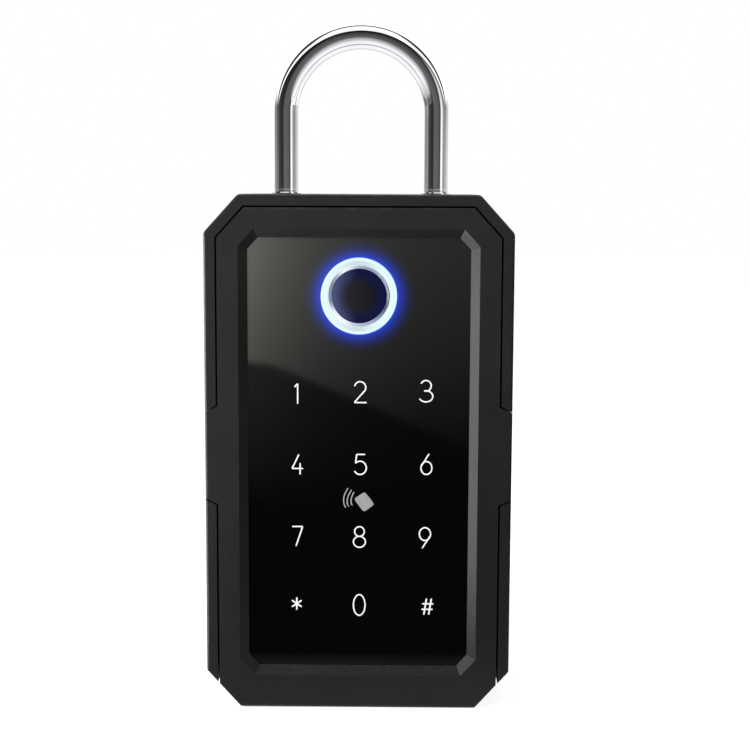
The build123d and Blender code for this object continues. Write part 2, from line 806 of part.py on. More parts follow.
reader_front_y = glass_front_y + reader_recess
with BuildPart() as fingerprint_reader:
    with BuildSketch(front_plane(reader_front_y + reader_thickness)):
        with Locations((0, reader_height)):
            Circle(bezel_radius - slide_fit)
    extrude(amount=reader_thickness)
    chamfer(fingerprint_reader.faces().sort_by(Axis.Y)[0].edges(), length=reader_edge)

# Reader module behind the board, flanged against it
module_radius = bezel_outer_radius - slide_fit
module_front_y = reader_front_y + reader_thickness
with BuildPart() as reader_module:
    with BuildSketch(front_plane(board_rear_y + module_depth)):
        with Locations((0, reader_height)):
            Circle(module_radius)
    extrude(amount=board_rear_y + module_depth - module_front_y)
    with BuildSketch(front_plane(board_rear_y + module_flange)):
        with Locations((0, reader_height)):
            Circle(module_flange_radius)
    extrude(amount=module_flange)

# Keypad board with a hole for the reader module
board_middle = (board_bottom + board_top) / 2
with BuildPart() as keypad_board:
    with BuildSketch(front_plane(board_rear_y)):
        with Locations((0, board_middle)):
            RectangleRounded(board_width, board_top - board_bottom, board_corner)
        with Locations((0, reader_height)):
            Circle(module_radius + slide_fit, mode=Mode.SUBTRACT)
    extrude(amount=board_thickness)

# Processor, radio, sockets and tact switch on the back of the board
with BuildPart() as board_components:
    for place, width, height, depth in (
        ((0, processor_z), processor_size, processor_size, processor_depth),
        ((radio_x, radio_z), radio_width, radio_height, radio_depth),
        ((0, plug_z), plug_width, plug_height, plug_depth),
        ((motor_plug_x, motor_plug_z), motor_plug_width, motor_plug_size, switch_height),
        ((button_x, button_z), switch_size, switch_size, switch_height),
    ):
        with BuildSketch(front_plane(board_rear_y + depth)):
            with Locations(place):
                Rectangle(width, height)
        extrude(amount=depth)

with BuildPart() as buzzer:
    with BuildSketch(front_plane(board_rear_y + buzzer_height)):
        with Locations((buzzer_x, buzzer_z)):
            Circle(buzzer_radius)
            Circle(buzzer_hole_radius, mode=Mode.SUBTRACT)
    extrude(amount=buzzer_height)

# Pairing button: a flanged plunger that passes the back plate and stops short of its switch
button_rear_y = door_back_y - button_sink
switch_face_y = board_rear_y + switch_height
with BuildPart() as pairing_button:
    with BuildSketch(front_plane(button_rear_y)):
        with Locations((button_x, button_z)):
            Circle(button_radius)
    extrude(amount=button_rear_y - switch_face_y - button_travel - slide_fit)
    with BuildSketch(front_plane(plate_front_y - slide_fit)):
        with Locations((button_x, button_z)):
            Circle(button_flange_radius)
    extrude(amount=button_flange)
    chamfer(pairing_button.faces().sort_by(Axis.Y)[-1].edges(), length=button_chamfer)

# Battery tub: a tray with a half-round trough for each cell
cell_z = bay_bottom + tub_wall + contact_room
tub_inner_height = cell_length + nub_length + 2 * contact_room
tub_height = tub_inner_height + 2 * tub_wall
tub_half_width = (cell_count - 1) * cell_pitch / 2 + cell_radius + slide_fit + tub_wall
tub_middle_z = bay_bottom + tub_height / 2
tub_rear_y = plate_front_y - loose_gap
cell_y = plate_front_y + loose_gap - cell_radius
tub_front_y = cell_y - cell_radius - slide_fit - tub_floor
cell_places = [(index - (cell_count - 1) / 2) * cell_pitch for index in range(cell_count)]

with BuildPart() as battery_tub:
    with BuildSketch(front_plane(tub_rear_y)):
        with Locations((0, tub_middle_z)):
            RectangleRounded(2 * tub_half_width, tub_height, small_corner)
    extrude(amount=tub_rear_y - tub_front_y)
    with BuildSketch(Plane.XY.offset(bay_bottom + tub_wall)):
        with Locations(*[(x, cell_y) for x in cell_places]):
            Circle(cell_radius + slide_fit)
        with Locations((0, cell_y + cell_radius)):
            Rectangle(2 * (tub_half_width - tub_wall), 2 * cell_radius)
    extrude(amount=tub_inner_height, mode=Mode.SUBTRACT)

# Cells stand alternately nub up and nub down
with BuildPart() as battery_cells:
    for index, cell_x in enumerate(cell_places):
        nub_up = index % 2 == 0
        can_bottom = cell_z if nub_up else cell_z + nub_length
        nub_bottom = cell_z + cell_length if nub_up else cell_z
        with BuildSketch(Plane.XY.offset(can_bottom)):
            with Locations((cell_x, cell_y)):
                Circle(cell_radius)
        extrude(amount=cell_length)
        with BuildSketch(Plane.XY.offset(nub_bottom)):
            with Locations((cell_x, cell_y)):
                Circle(nub_radius)
        extrude(amount=nub_length)

# Leaf contacts: each plate bears on its cells through a pressed cone; pairs of cells share a plate
plate_groups = {True: [(0, 1), (2, 3)], False: [(0,), (1, 2), (3,)]}
contact_bump = contact_room - contact_thickness - slide_fit
with BuildPart() as battery_contacts:
    for at_bottom, groups in plate_groups.items():
        plate_z = bay_bottom + tub_wall if at_bottom else bay_bottom + tub_wall + tub_inner_height
        lift = 1 if at_bottom else -1
        for group in groups:
            left, right = cell_places[group[0]], cell_places[group[-1]]
            with BuildSketch(Plane.XY.offset(plate_z)):
                with Locations(*[(cell_places[index], cell_y) for index in group]):
                    Circle(contact_radius)
                with Locations(((left + right) / 2, cell_y + contact_radius / 2)):
                    Rectangle(right - left + contact_radius, contact_radius - slide_fit)
            extrude(amount=lift * contact_thickness)
            for index in group:
                with BuildSketch(Plane.XY.offset(plate_z + lift * contact_thickness)):
                    with Locations((cell_places[index], cell_y)):
                        Circle(bump_radius)
                extrude(amount=lift * contact_bump, taper=bump_taper)

# Back plate of the door: battery opening with a rebate, gasket groove and screw seats
lock_screw_places = [
    (lock_x + side * (lock_half_width - lock_screw_inset), z)
    for side in (-1, 1) for z in (lock_bottom + lock_screw_inset, lock_top - lock_screw_inset)
]
gear_pitch_radius = gear_module * gear_teeth / 2
gear_x = rack_line + gear_pitch_radius
cover_half_width = tub_half_width - tub_wall + cover_lip
cover_height = tub_inner_height + 2 * cover_lip
cover_screw_places = [
    (side * (cover_half_width - cover_screw_inset), tub_middle_z) for side in (-1, 1)
]
gasket_outer = door_inset + gasket_inset

with BuildPart() as door_back:
    with BuildSketch(front_plane(door_back_y)):
        add(panel_outline(door_inset, bar_top + loose_gap))
    extrude(amount=back_plate_thickness)
    with BuildSketch(front_plane(door_back_y)):
        add(panel_outline(gasket_outer, gasket_bottom))
        add(panel_outline(gasket_outer + gasket_width, gasket_bottom + gasket_width), mode=Mode.SUBTRACT)
    extrude(amount=gasket_depth, mode=Mode.SUBTRACT)
    with BuildSketch(front_plane(door_back_y)):
        with Locations((0, tub_middle_z)):
            Rectangle(2 * (tub_half_width - tub_wall), tub_inner_height)
        with Locations(*boss_places):
            Circle(small_screw_radius + slide_fit)
        with Locations((gear_x, gear_axis_height)):
            Circle(shaft_radius + loose_gap)
        with Locations((button_x, button_z)):
            Circle(button_radius + slide_fit)
        with Locations(*lock_screw_places):
            Circle(small_screw_radius + thread_gap)
    extrude(amount=back_plate_thickness, mode=Mode.SUBTRACT)
    with BuildSketch(front_plane(door_back_y)):
        with Locations((0, tub_middle_z)):
            RectangleRounded(2 * cover_half_width, cover_height, cover_corner)
    extrude(amount=cover_thickness, mode=Mode.SUBTRACT)
    with BuildSketch(front_plane(door_back_y)):
        with Locations(*boss_places):
            Circle(small_head_radius + slide_fit)
    extrude(amount=small_head_height + slide_fit, mode=Mode.SUBTRACT)
    with BuildSketch(front_plane(door_back_y)):
        with Locations(*cover_screw_places):
            Circle(small_screw_radius + thread_gap)
    extrude(amount=back_plate_thickness, mode=Mode.SUBTRACT)

with BuildPart() as door_back_screws:
    head_seat = door_back_y - small_head_height - slide_fit
    with Locations(*[Location((x, head_seat, z), (-90, 0, 0)) for x, z in boss_places]):
        add(socket_screw(
            small_screw_radius, head_seat - plate_front_y + boss_screw_depth,
            small_head_radius, small_head_height,
        ))

with BuildPart() as door_gasket:
    with BuildSketch(front_plane(door_back_y + gasket_proud)):
        add(panel_outline(gasket_outer + thread_gap, gasket_bottom + thread_gap))
        add(
            panel_outline(
                gasket_outer + gasket_width - thread_gap, gasket_bottom + gasket_width - thread_gap
            ),
            mode=Mode.SUBTRACT,
        )
    extrude(amount=gasket_depth + gasket_proud)

# Battery cover: a plate in the rebate, with a finger hollow and two screws
with BuildPart() as battery_cover:
    with BuildSketch(front_plane(door_back_y)):
        with Locations((0, tub_middle_z)):
            RectangleRounded(
                2 * (cover_half_width - slide_fit), cover_height - 2 * slide_fit, cover_corner - slide_fit
            )
        with Locations(*cover_screw_places):
            Circle(small_screw_radius + slide_fit, mode=Mode.SUBTRACT)
    extrude(amount=cover_thickness)
    with BuildSketch(front_plane(door_back_y)):
        with Locations((0, tub_middle_z + cover_height / 2 - hollow_inset)):
            SlotOverall(hollow_width, hollow_height)
    extrude(amount=hollow_depth, mode=Mode.SUBTRACT)

with BuildPart() as cover_screws:
    with Locations(*[Location((x, door_back_y, z), (-90, 0, 0)) for x, z in cover_screw_places]):
        add(socket_screw(small_screw_radius, back_plate_thickness, small_head_radius, small_head_height))

# Lock base, the pad that the bolt slides on
with BuildPart() as lock_base:
    with BuildSketch(front_plane(lock_joint_y)):
        with Locations((lock_x, lock_middle_z)):
            RectangleRounded(2 * lock_half_width, lock_height, lock_corner)
        with Locations((gear_x, gear_axis_height)):
            Circle(shaft_radius + loose_gap, mode=Mode.SUBTRACT)
        with Locations(*lock_screw_places):
            Circle(small_screw_radius + slide_fit, mode=Mode.SUBTRACT)
    extrude(amount=lock_joint_y - door_back_y)

# Lock case over bolt, rack and pinion
gear_outer_radius = gear_pitch_radius + gear_module
gear_root_radius = gear_pitch_radius - gear_module
rack_tip = rack_line + rack_addendum * gear_module
rack_root = rack_line - rack_dedendum * gear_module
head_bottom = gear_axis_height + gear_outer_radius + 2 * loose_gap
bolt_top = lock_top - bolt_recess
channel_bottom = lock_bottom + lock_side_wall
head_edge = head_bottom - loose_gap

with BuildPart() as lock_case:
    with BuildSketch(front_plane(lock_rear_y)):
        with Locations((lock_x, lock_middle_z)):
            RectangleRounded(2 * lock_half_width, lock_height, lock_corner)
    extrude(amount=lock_rear_y - lock_joint_y)
    chamfer(lock_case.faces().sort_by(Axis.Y)[-1].edges(), length=lock_chamfer)
    with BuildSketch(front_plane(bolt_rear_y + slide_fit)):
        with Locations((0, (head_edge + lock_top + over_cut) / 2)):
            Rectangle(bolt_width + 2 * slide_fit, lock_top + over_cut - head_edge)
        stem_right = rack_tip + loose_gap
        stem_left = -bolt_width / 2 - slide_fit
        with Locations(((stem_left + stem_right) / 2, (channel_bottom + head_edge) / 2)):
            Rectangle(stem_right - stem_left, head_edge - channel_bottom)
        with Locations((gear_x, gear_axis_height)):
            Circle(gear_outer_radius + loose_gap)
    extrude(amount=bolt_rear_y + slide_fit - lock_joint_y, mode=Mode.SUBTRACT)
    with BuildSketch(front_plane(lock_rear_y)):
        with Locations((gear_x, gear_axis_height)):
            Circle(shaft_radius + running_fit)
        with Locations(*lock_screw_places):
            Circle(small_screw_radius + slide_fit)
    extrude(amount=lock_rear_y - lock_joint_y, mode=Mode.SUBTRACT)
    with BuildSketch(front_plane(lock_rear_y)):
        with Locations(*lock_screw_places):
            Circle(small_head_radius + slide_fit)
    extrude(amount=small_head_height + slide_fit, mode=Mode.SUBTRACT)

with BuildPart() as lock_screws:
    head_seat = lock_rear_y - small_head_height - slide_fit
    with Locations(*[Location((x, head_seat, z), (-90, 0, 0)) for x, z in lock_screw_places]):
        add(socket_screw(
            small_screw_radius, head_seat - plate_front_y, small_head_radius, small_head_height
        ))

# Bolt with a rack cut on the side of its stem
gear_pitch = pi * gear_module
flank = tan(radians(pressure_angle))
rack_half = gear_pitch / 4 - backlash / 2
rack_half_tip = rack_half - (rack_tip - rack_line) * flank
rack_half_root = rack_half + (rack_line - rack_root) * flank
stem_bottom = channel_bottom + loose_gap

with BuildPart() as lock_bolt:
    with BuildSketch(front_plane(bolt_rear_y)):
        with Locations((0, (head_bottom + bolt_top) / 2)):
            Rectangle(bolt_width, bolt_top - head_bottom)
        with Locations(((rack_root - bolt_width / 2) / 2, (stem_bottom + head_bottom) / 2)):
            Rectangle(rack_root + bolt_width / 2, head_bottom - stem_bottom)
        for tooth in range(-rack_teeth_below, rack_teeth_above + 1):
            tooth_z = gear_axis_height + tooth * gear_pitch
            with BuildLine():
                Polyline(
                    (rack_root, tooth_z - rack_half_root), (rack_tip, tooth_z - rack_half_tip),
                    (rack_tip, tooth_z + rack_half_tip), (rack_root, tooth_z + rack_half_root),
                    close=True,
                )
            make_face()
    extrude(amount=bolt_thickness)
    chamfer(lock_bolt.faces().sort_by(Axis.Z)[-1].edges().filter_by(Axis.X), length=bolt_chamfer)

# Pinion turned with its shaft; its flanks are involutes of the base circle
base_radius = gear_pitch_radius * cos(radians(pressure_angle))


def involute_point(radius, side):
    """Point of a tooth flank at radius; the tooth is centred on the x axis and side is 1 or -1."""
    def roll(r):
        return sqrt((r / base_radius) ** 2 - 1) - atan2(sqrt(r ** 2 - base_radius ** 2), base_radius)

    angle = side * (pi / (2 * gear_teeth) + roll(gear_pitch_radius) - roll(radius))
    return radius * cos(angle), radius * sin(angle)


def gear_tooth():
    """One tooth, from inside the root circle to the tip circle."""
    radii = [
        base_radius + (gear_outer_radius - base_radius) * step / flank_steps
        for step in range(flank_steps + 1)
    ]
    inner_radius = gear_root_radius - gear_module / 2
    base_angle = atan2(involute_point(base_radius, 1)[1], involute_point(base_radius, 1)[0])
    inner_x, inner_y = inner_radius * cos(base_angle), inner_radius * sin(base_angle)
    with BuildSketch() as tooth:
        with BuildLine():
            lower = Spline(*[involute_point(r, -1) for r in radii])
            tip = ThreePointArc(lower @ 1, (gear_outer_radius, 0), involute_point(gear_outer_radius, 1))
            upper = Spline(*[involute_point(r, 1) for r in reversed(radii)])
            Polyline(upper @ 1, (inner_x, inner_y), (inner_x, -inner_y), lower @ 0)
        make_face()
    return tooth.sketch


gear_front_y = bolt_front_y + (bolt_thickness - gear_width) / 2
gearbox_rear_y = plate_front_y - loose_gap
gearbox_front_y = gearbox_rear_y - gearbox_depth
shaft_front_y = gearbox_front_y + shaft_end_wall

with BuildPart() as drive_pinion:
    with BuildSketch(front_plane(gear_front_y + gear_width)):
        with Locations((gear_x, gear_axis_height)):
            Circle(gear_root_radius)
            with PolarLocations(0, gear_teeth, start_angle=180 / gear_teeth):
                add(gear_tooth())
    extrude(amount=gear_width)
    with BuildSketch(front_plane(lock_rear_y - slide_fit)):
        with Locations((gear_x, gear_axis_height)):
            Circle(shaft_radius)
    extrude(amount=lock_rear_y - slide_fit - shaft_front_y)

# Right-angle gear motor behind the back plate
gearbox_middle_y = (gearbox_front_y + gearbox_rear_y) / 2
with BuildPart() as gear_motor:
    with BuildSketch(front_plane(gearbox_rear_y)):
        with Locations((gear_x, gear_axis_height)):
            RectangleRounded(gearbox_size, gearbox_size, small_corner)
    extrude(amount=gearbox_depth)
    with BuildSketch(Plane.YZ.offset(gear_x + gearbox_size / 2)):
        with Locations((gearbox_middle_y, gear_axis_height)):
            Circle(motor_radius)
            with Locations((0, motor_radius), (0, -motor_radius)):
                Rectangle(2 * motor_radius, 2 * motor_flat, mode=Mode.SUBTRACT)
    extrude(amount=motor_length)
    with BuildSketch(front_plane(gearbox_rear_y)):
        with Locations((gear_x, gear_axis_height)):
            Circle(shaft_radius + running_fit)
    extrude(amount=gearbox_rear_y - shaft_front_y + loose_gap, mode=Mode.SUBTRACT)

# USB socket in the lower edge of the door: a rounded shell with its tongue
with BuildPart() as usb_socket:
    with BuildSketch(Plane.XY.offset(usb_sink)):
        with Locations((0, usb_y)):
            SlotOverall(usb_width, usb_height)
    extrude(amount=usb_length)
    with BuildSketch(Plane.XY.offset(usb_sink)):
        with Locations((0, usb_y)):
            SlotOverall(usb_width - 2 * usb_wall, usb_height - 2 * usb_wall)
            Rectangle(usb_tongue_width, usb_tongue_thickness, mode=Mode.SUBTRACT)
    extrude(amount=usb_length - usb_back_wall, mode=Mode.SUBTRACT)

for piece, piece_name in (
    (rear_case, "rear_case"), (shackle_bushes, "shackle_bushes"), (shackle, "shackle"),
    (shackle_block, "shackle_block"), (strike_spacer, "strike_spacer"),
    (strike_plate, "strike_plate"), (shackle_slide, "shackle_slide"),
    (slide_screws, "slide_screws"), (strike_screws, "strike_screws"), (block_screws, "block_screws"),
    (key_hook, "key_hook"), (hook_screws, "hook_screws"), (hinge_pin, "hinge_pin"),
    (door_frame, "door_frame"), (keypad_glass, "keypad_glass"), (light_ring, "light_ring"),
    (reader_bezel, "reader_bezel"), (fingerprint_reader, "fingerprint_reader"),
    (reader_module, "reader_module"), (keypad_board, "keypad_board"),
    (board_components, "board_components"), (buzzer, "buzzer"), (pairing_button, "pairing_button"),
    (battery_tub, "battery_tub"), (battery_cells, "battery_cells"),
    (battery_contacts, "battery_contacts"), (door_back, "door_back"),
    (door_back_screws, "door_back_screws"), (door_gasket, "door_gasket"),
    (battery_cover, "battery_cover"), (cover_screws, "cover_screws"), (lock_base, "lock_base"),
    (lock_case, "lock_case"), (lock_screws, "lock_screws"), (lock_bolt, "lock_bolt"),
    (drive_pinion, "drive_pinion"), (gear_motor, "gear_motor"), (usb_socket, "usb_socket"),
):
    write_part(piece.part, piece_name)
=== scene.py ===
"""Looks of the smart key box: its finishes, printed keypad, reader, shackle and studio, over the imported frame."""
import json
from math import cos, pi, radians, sin, tau

import bpy
import numpy as np
from mathutils import Matrix, Vector

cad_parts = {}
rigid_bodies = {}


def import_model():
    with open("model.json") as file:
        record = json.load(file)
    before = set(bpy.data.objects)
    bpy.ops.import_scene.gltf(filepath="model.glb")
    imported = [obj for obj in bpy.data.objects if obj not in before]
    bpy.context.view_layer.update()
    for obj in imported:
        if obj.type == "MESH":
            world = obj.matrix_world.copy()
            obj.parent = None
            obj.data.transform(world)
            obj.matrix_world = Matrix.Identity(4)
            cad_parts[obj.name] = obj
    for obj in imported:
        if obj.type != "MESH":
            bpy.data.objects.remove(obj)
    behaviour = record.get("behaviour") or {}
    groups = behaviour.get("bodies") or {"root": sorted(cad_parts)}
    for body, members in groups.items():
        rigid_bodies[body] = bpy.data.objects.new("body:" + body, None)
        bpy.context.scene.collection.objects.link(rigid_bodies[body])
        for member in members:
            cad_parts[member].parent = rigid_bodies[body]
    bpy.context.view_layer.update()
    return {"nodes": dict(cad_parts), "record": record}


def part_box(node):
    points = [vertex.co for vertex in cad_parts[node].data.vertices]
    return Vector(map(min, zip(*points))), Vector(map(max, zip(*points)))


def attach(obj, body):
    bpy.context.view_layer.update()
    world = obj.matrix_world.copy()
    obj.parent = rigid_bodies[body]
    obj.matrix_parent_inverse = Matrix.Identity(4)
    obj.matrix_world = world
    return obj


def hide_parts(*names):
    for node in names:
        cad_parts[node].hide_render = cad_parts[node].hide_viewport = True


bpy.data.batch_remove(list(bpy.data.objects))
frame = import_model()

bl_info = {
    "name": "Smart Key Box",
    "version": (1, 0, 0),
    "blender": (4, 5, 0),
    "location": "3D View > Sidebar > Key Box",
    "description": "Finishes, keypad print, reader, shackle and studio for the smart key box",
    "category": "Object",
}

GLASS_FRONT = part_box("keypad_glass")[0].y
RING_LOW, RING_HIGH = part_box("light_ring")
READER = ((RING_LOW.x + RING_HIGH.x) / 2, 0.0, (RING_LOW.z + RING_HIGH.z) / 2)
RING_RADIUS, RING_WIDTH, SEAM = (RING_HIGH.x - RING_LOW.x) / 2, 0.002, 0.0001
SHACKLE_LOW, SHACKLE_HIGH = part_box("shackle")


# Mesh work


def skin(rings, closed=False):
    """Closed shell over rings of points, in the shape (rings, points, 3).

    Quads join neighbouring rings, and where closed also the last and the first. Otherwise a fan to the middle of
    the ring closes each end. The faces are turned outwards by the sign of the volume that they enclose.
    """
    rows, columns = rings.shape[:2]
    points = rings.reshape(-1, 3)
    row, column = np.arange(rows if closed else rows - 1)[:, None], np.arange(columns)
    after = (column + 1) % columns
    here, there = row * columns, (row + 1) % rows * columns
    quads = np.stack([here + column, here + after, there + after, there + column], axis=-1).reshape(-1, 4)
    fans = np.zeros((0, 3), int)
    if not closed:
        points = np.vstack([points, rings[0].mean(axis=0), rings[-1].mean(axis=0)])
        last = (rows - 1) * columns
        near = np.stack([after, column, np.full(columns, rows * columns)], axis=1)
        far = np.stack([last + column, last + after, np.full(columns, rows * columns + 1)], axis=1)
        fans = np.vstack([near, far])
    corners = np.vstack([quads[:, [0, 1, 2]], quads[:, [0, 2, 3]], fans])
    a, b, c = (points[corners[:, i]] for i in range(3))
    if np.einsum("ij,ij->", a - points.mean(axis=0), np.cross(b - a, c - a)) < 0:
        quads, fans = quads[:, ::-1], fans[:, ::-1]
    return points, quads, fans


def new_object(name, data):
    """A new object in the scene."""
    made = bpy.data.objects.new(name, data)
    bpy.context.scene.collection.objects.link(made)
    return made


def new_mesh(name, points, faces, material):
    """A mesh of points and faces with one material."""
    mesh = bpy.data.meshes.new(name)
    mesh.from_pydata(points.reshape(-1, 3).tolist(), [], faces)
    mesh.materials.append(material)
    return mesh


def make_piece(name, shells, body, material, crease=40.0):
    """One mesh object from shells, smooth except where its faces meet by more than crease degrees."""
    points, faces, offset = [], [], 0
    for shell_points, quads, fans in shells:
        points.append(shell_points)
        faces += (quads + offset).tolist() + (fans + offset).tolist()
        offset += len(shell_points)
    mesh = new_mesh(name, np.vstack(points), faces, material)
    mesh.validate()
    mesh.shade_smooth()
    mesh.set_sharp_from_angle(angle=radians(crease))
    piece = new_object(name, mesh)
    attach(piece, body)
    return piece


def rounded(corners, cuts, steps=6, closed=True):
    """Outline with each corner replaced by a curve from cut before it to cut after it.

    A curve's point at t is (1-t)^2 times its start, 2t(1-t) times the corner and t^2 times its end, added up.
    An open outline keeps its first and last point.
    """
    corners, cuts = np.array(corners, float), np.array(cuts, float)[:, None]
    before, after = np.roll(corners, 1, axis=0) - corners, np.roll(corners, -1, axis=0) - corners
    start = corners + cuts * before / np.linalg.norm(before, axis=1, keepdims=True)
    end = corners + cuts * after / np.linalg.norm(after, axis=1, keepdims=True)
    t = np.linspace(0, 1, steps)[None, :, None]
    curves = (1 - t) ** 2 * start[:, None] + 2 * t * (1 - t) * corners[:, None] + t ** 2 * end[:, None]
    if closed:
        return curves.reshape(-1, 2)
    return np.vstack([corners[:1], curves[1:-1].reshape(-1, 2), corners[-1:]])


def make_turned(name, profile, material, closed=True, crease=40.0, columns=144):
    """A piece of the door that is turned about the reader's axis along y; profile holds (radius, y) pairs."""
    angle = np.arange(columns) / columns * tau
    radius, depth = profile[:, 0, None], profile[:, 1, None]
    x, _, z = READER
    rings = np.stack([x + radius * np.cos(angle), depth + 0 * angle, z + radius * np.sin(angle)], axis=-1)
    return make_piece(name, [skin(rings, closed)], "door", material, crease)


# Strokes of the keypad's print, in a box from 0 to 1


def line(*points):
    """Straight runs through points."""
    return np.array(points, float)


def arc(centre, reach, start, stop, points=48):
    """Part of an ellipse: centre plus reach times the cosine and sine of an angle from start to stop degrees."""
    angle = np.radians(np.linspace(start, stop, points))
    return np.stack([centre[0] + reach[0] * np.cos(angle), centre[1] + reach[1] * np.sin(angle)], axis=1)


GLYPHS = {
    "1": [line((0, 0.84), (1, 1)), line((1, 1), (1, 0))],
    "2": [np.vstack([arc((0.47, 0.72), (0.45, 0.28), 168, -32), line((0, 0))]), line((0, 0), (1, 0))],
    "3": [
        np.vstack([arc((0.46, 0.75), (0.41, 0.25), 158, -84), line((0.3, 0.515))]),
        arc((0.46, 0.26), (0.54, 0.26), 98, -158),
    ],
    "4": [line((0.62, 1), (0, 0.3), (1, 0.3)), line((0.72, 0.58), (0.72, 0))],
    "5": [line((0.9, 1), (0.16, 1), (0.07, 0.56)), arc((0.46, 0.33), (0.54, 0.33), 138, -152)],
    "6": [arc((0.5, 0.31), (0.5, 0.31), 0, 360), line((0.74, 1), (0.05, 0.42))],
    "7": [line((0, 1), (1, 1), (0.36, 0))],
    "8": [arc((0.5, 0.765), (0.4, 0.235), 0, 360), arc((0.5, 0.265), (0.5, 0.265), 0, 360)],
    "9": [arc((0.5, 0.69), (0.5, 0.31), 0, 360), line((0.95, 0.58), (0.26, 0))],
    "star": [line((0.5, 0), (0.5, 1)), line((0, 0.24), (1, 0.76)), line((0, 0.76), (1, 0.24))],
    "0": [arc((0.5, 0.5), (0.5, 0.5), 0, 360)],
    "hash": [
        line((0.2, 0), (0.42, 1)), line((0.6, 0), (0.82, 1)),
        line((0.06, 0.67), (1, 0.67)), line((0, 0.33), (0.94, 0.33)),
    ],
}

# Places of the numerals on the glass, as left, bottom, width and height in millimetres
GLYPH_PLACES = {
    "1": (-17.98, 86.04, 1.29, 6.03), "2": (-1.38, 86.51, 3.82, 6.21), "3": (16.81, 86.79, 3.93, 6.37),
    "4": (-18.69, 66.17, 3.52, 6.06), "5": (-1.21, 66.28, 3.61, 6.05), "6": (17.23, 66.39, 3.42, 6.25),
    "7": (-18.66, 45.80, 3.30, 5.96), "8": (-1.52, 45.55, 3.74, 6.26), "9": (16.92, 45.38, 3.52, 6.27),
    "star": (-18.82, 27.42, 3.17, 4.03), "0": (-1.48, 25.96, 3.66, 6.33), "hash": (17.67, 26.27, 3.78, 5.06),
}

# The card sign, in millimetres: the corners of its card, and three points of each wave
CARD_CORNERS = ((-1.26, 59.51), (1.77, 61.6), (4.52, 57.98), (1.51, 55.8))
CARD_WAVES = (
    ((-2.83, 62.56), (-4.08, 59.66), (-3.49, 57.02)), ((-1.88, 62.12), (-3.08, 59.3), (-2.6, 57.39)),
    ((-1.18, 61.5), (-2.02, 59.22), (-1.62, 57.68)),
)


def printed_stroke(path, half_width, rise, points=64, around=12):
    """Flat-topped bead along a path on the glass, with round ends.

    A point is path(s) + across * w(s) * cos(angle), and it stands rise * w(s) / half_width * sin(angle) in
    front of the glass, where w(s) is half_width, and near an end that is d away
    sqrt(half_width^2 - (half_width - d)^2). Underneath, the bead goes half as far into the glass.
    """
    reach = np.concatenate([[0], np.cumsum(np.linalg.norm(np.diff(path, axis=0), axis=1))])
    length = reach[-1]
    closed = np.allclose(path[0], path[-1])
    step = np.linspace(0, length, points)[:-1]
    if not closed:
        ends = half_width * (1 - np.cos(np.linspace(0.12, pi / 2, 7)))
        step = np.concatenate([ends, np.linspace(half_width, length - half_width, points)[1:-1], length - ends[::-1]])
    places = np.stack([np.interp(step, reach, path[:, i]) for i in (0, 1)], axis=1)
    if closed:
        along = np.roll(places, -1, axis=0) - np.roll(places, 1, axis=0)
        width = np.full(len(places), half_width)
    else:
        along = np.gradient(places, axis=0)
        away = np.minimum(step, length - step)
        width = np.sqrt(half_width ** 2 - np.maximum(half_width - away, 0) ** 2)
    along /= np.linalg.norm(along, axis=1, keepdims=True)
    across = np.stack([-along[:, 1], along[:, 0]], axis=1)
    angle = np.arange(around) / around * tau
    side = width[:, None] * np.cos(angle)
    out = rise * (width / half_width)[:, None] * np.where(np.sin(angle) > 0, np.sin(angle), 0.5 * np.sin(angle))
    rings = np.stack([
        places[:, 0, None] + across[:, 0, None] * side,
        GLASS_FRONT - out,
        places[:, 1, None] + across[:, 1, None] * side,
    ], axis=-1)
    return skin(rings, closed)


def split_corners(path):
    """Runs of a path between its sharp corners, so that each run gets round ends."""
    if len(path) > 4:
        return [path]
    return [path[i:i + 2] for i in range(len(path) - 1)]


def card_plate(corners, rise, rings=10, around=64):
    """Flat pad with a rounded four-cornered outline.

    The outline is |u|^7 + |v|^7 = 1, and u and v blend the four corners in both directions. Rings of it shrink
    towards the middle, and the pad stands rise * (1 - share^6) in front of the glass.
    """
    angle = np.arange(around) / around * tau
    size = (np.abs(np.cos(angle)) ** 7 + np.abs(np.sin(angle)) ** 7) ** (-1 / 7)
    share = np.linspace(0.04, 1, rings)[:, None]
    u, v = share * size * np.cos(angle), share * size * np.sin(angle)
    weights = [(1 - u) * (1 + v) / 4, (1 + u) * (1 + v) / 4, (1 + u) * (1 - v) / 4, (1 - u) * (1 - v) / 4]
    x, z = (sum(weight * corner[i] for weight, corner in zip(weights, corners)) for i in (0, 1))
    top = np.stack([x, GLASS_FRONT - rise * (1 - share ** 6) + 0 * x, z], axis=-1)
    under = top[::-1].copy()
    under[..., 1] = GLASS_FRONT + rise / 2
    return skin(np.vstack([top, under]))


def curve_through(places, points=40):
    """Smooth curve through three points: the parabola that takes them at 0, a half and 1."""
    t = np.linspace(0, 1, points)[:, None]
    start, middle, stop = np.array(places)
    return (2 * t - 1) * (t - 1) * start + 4 * t * (1 - t) * middle + t * (2 * t - 1) * stop


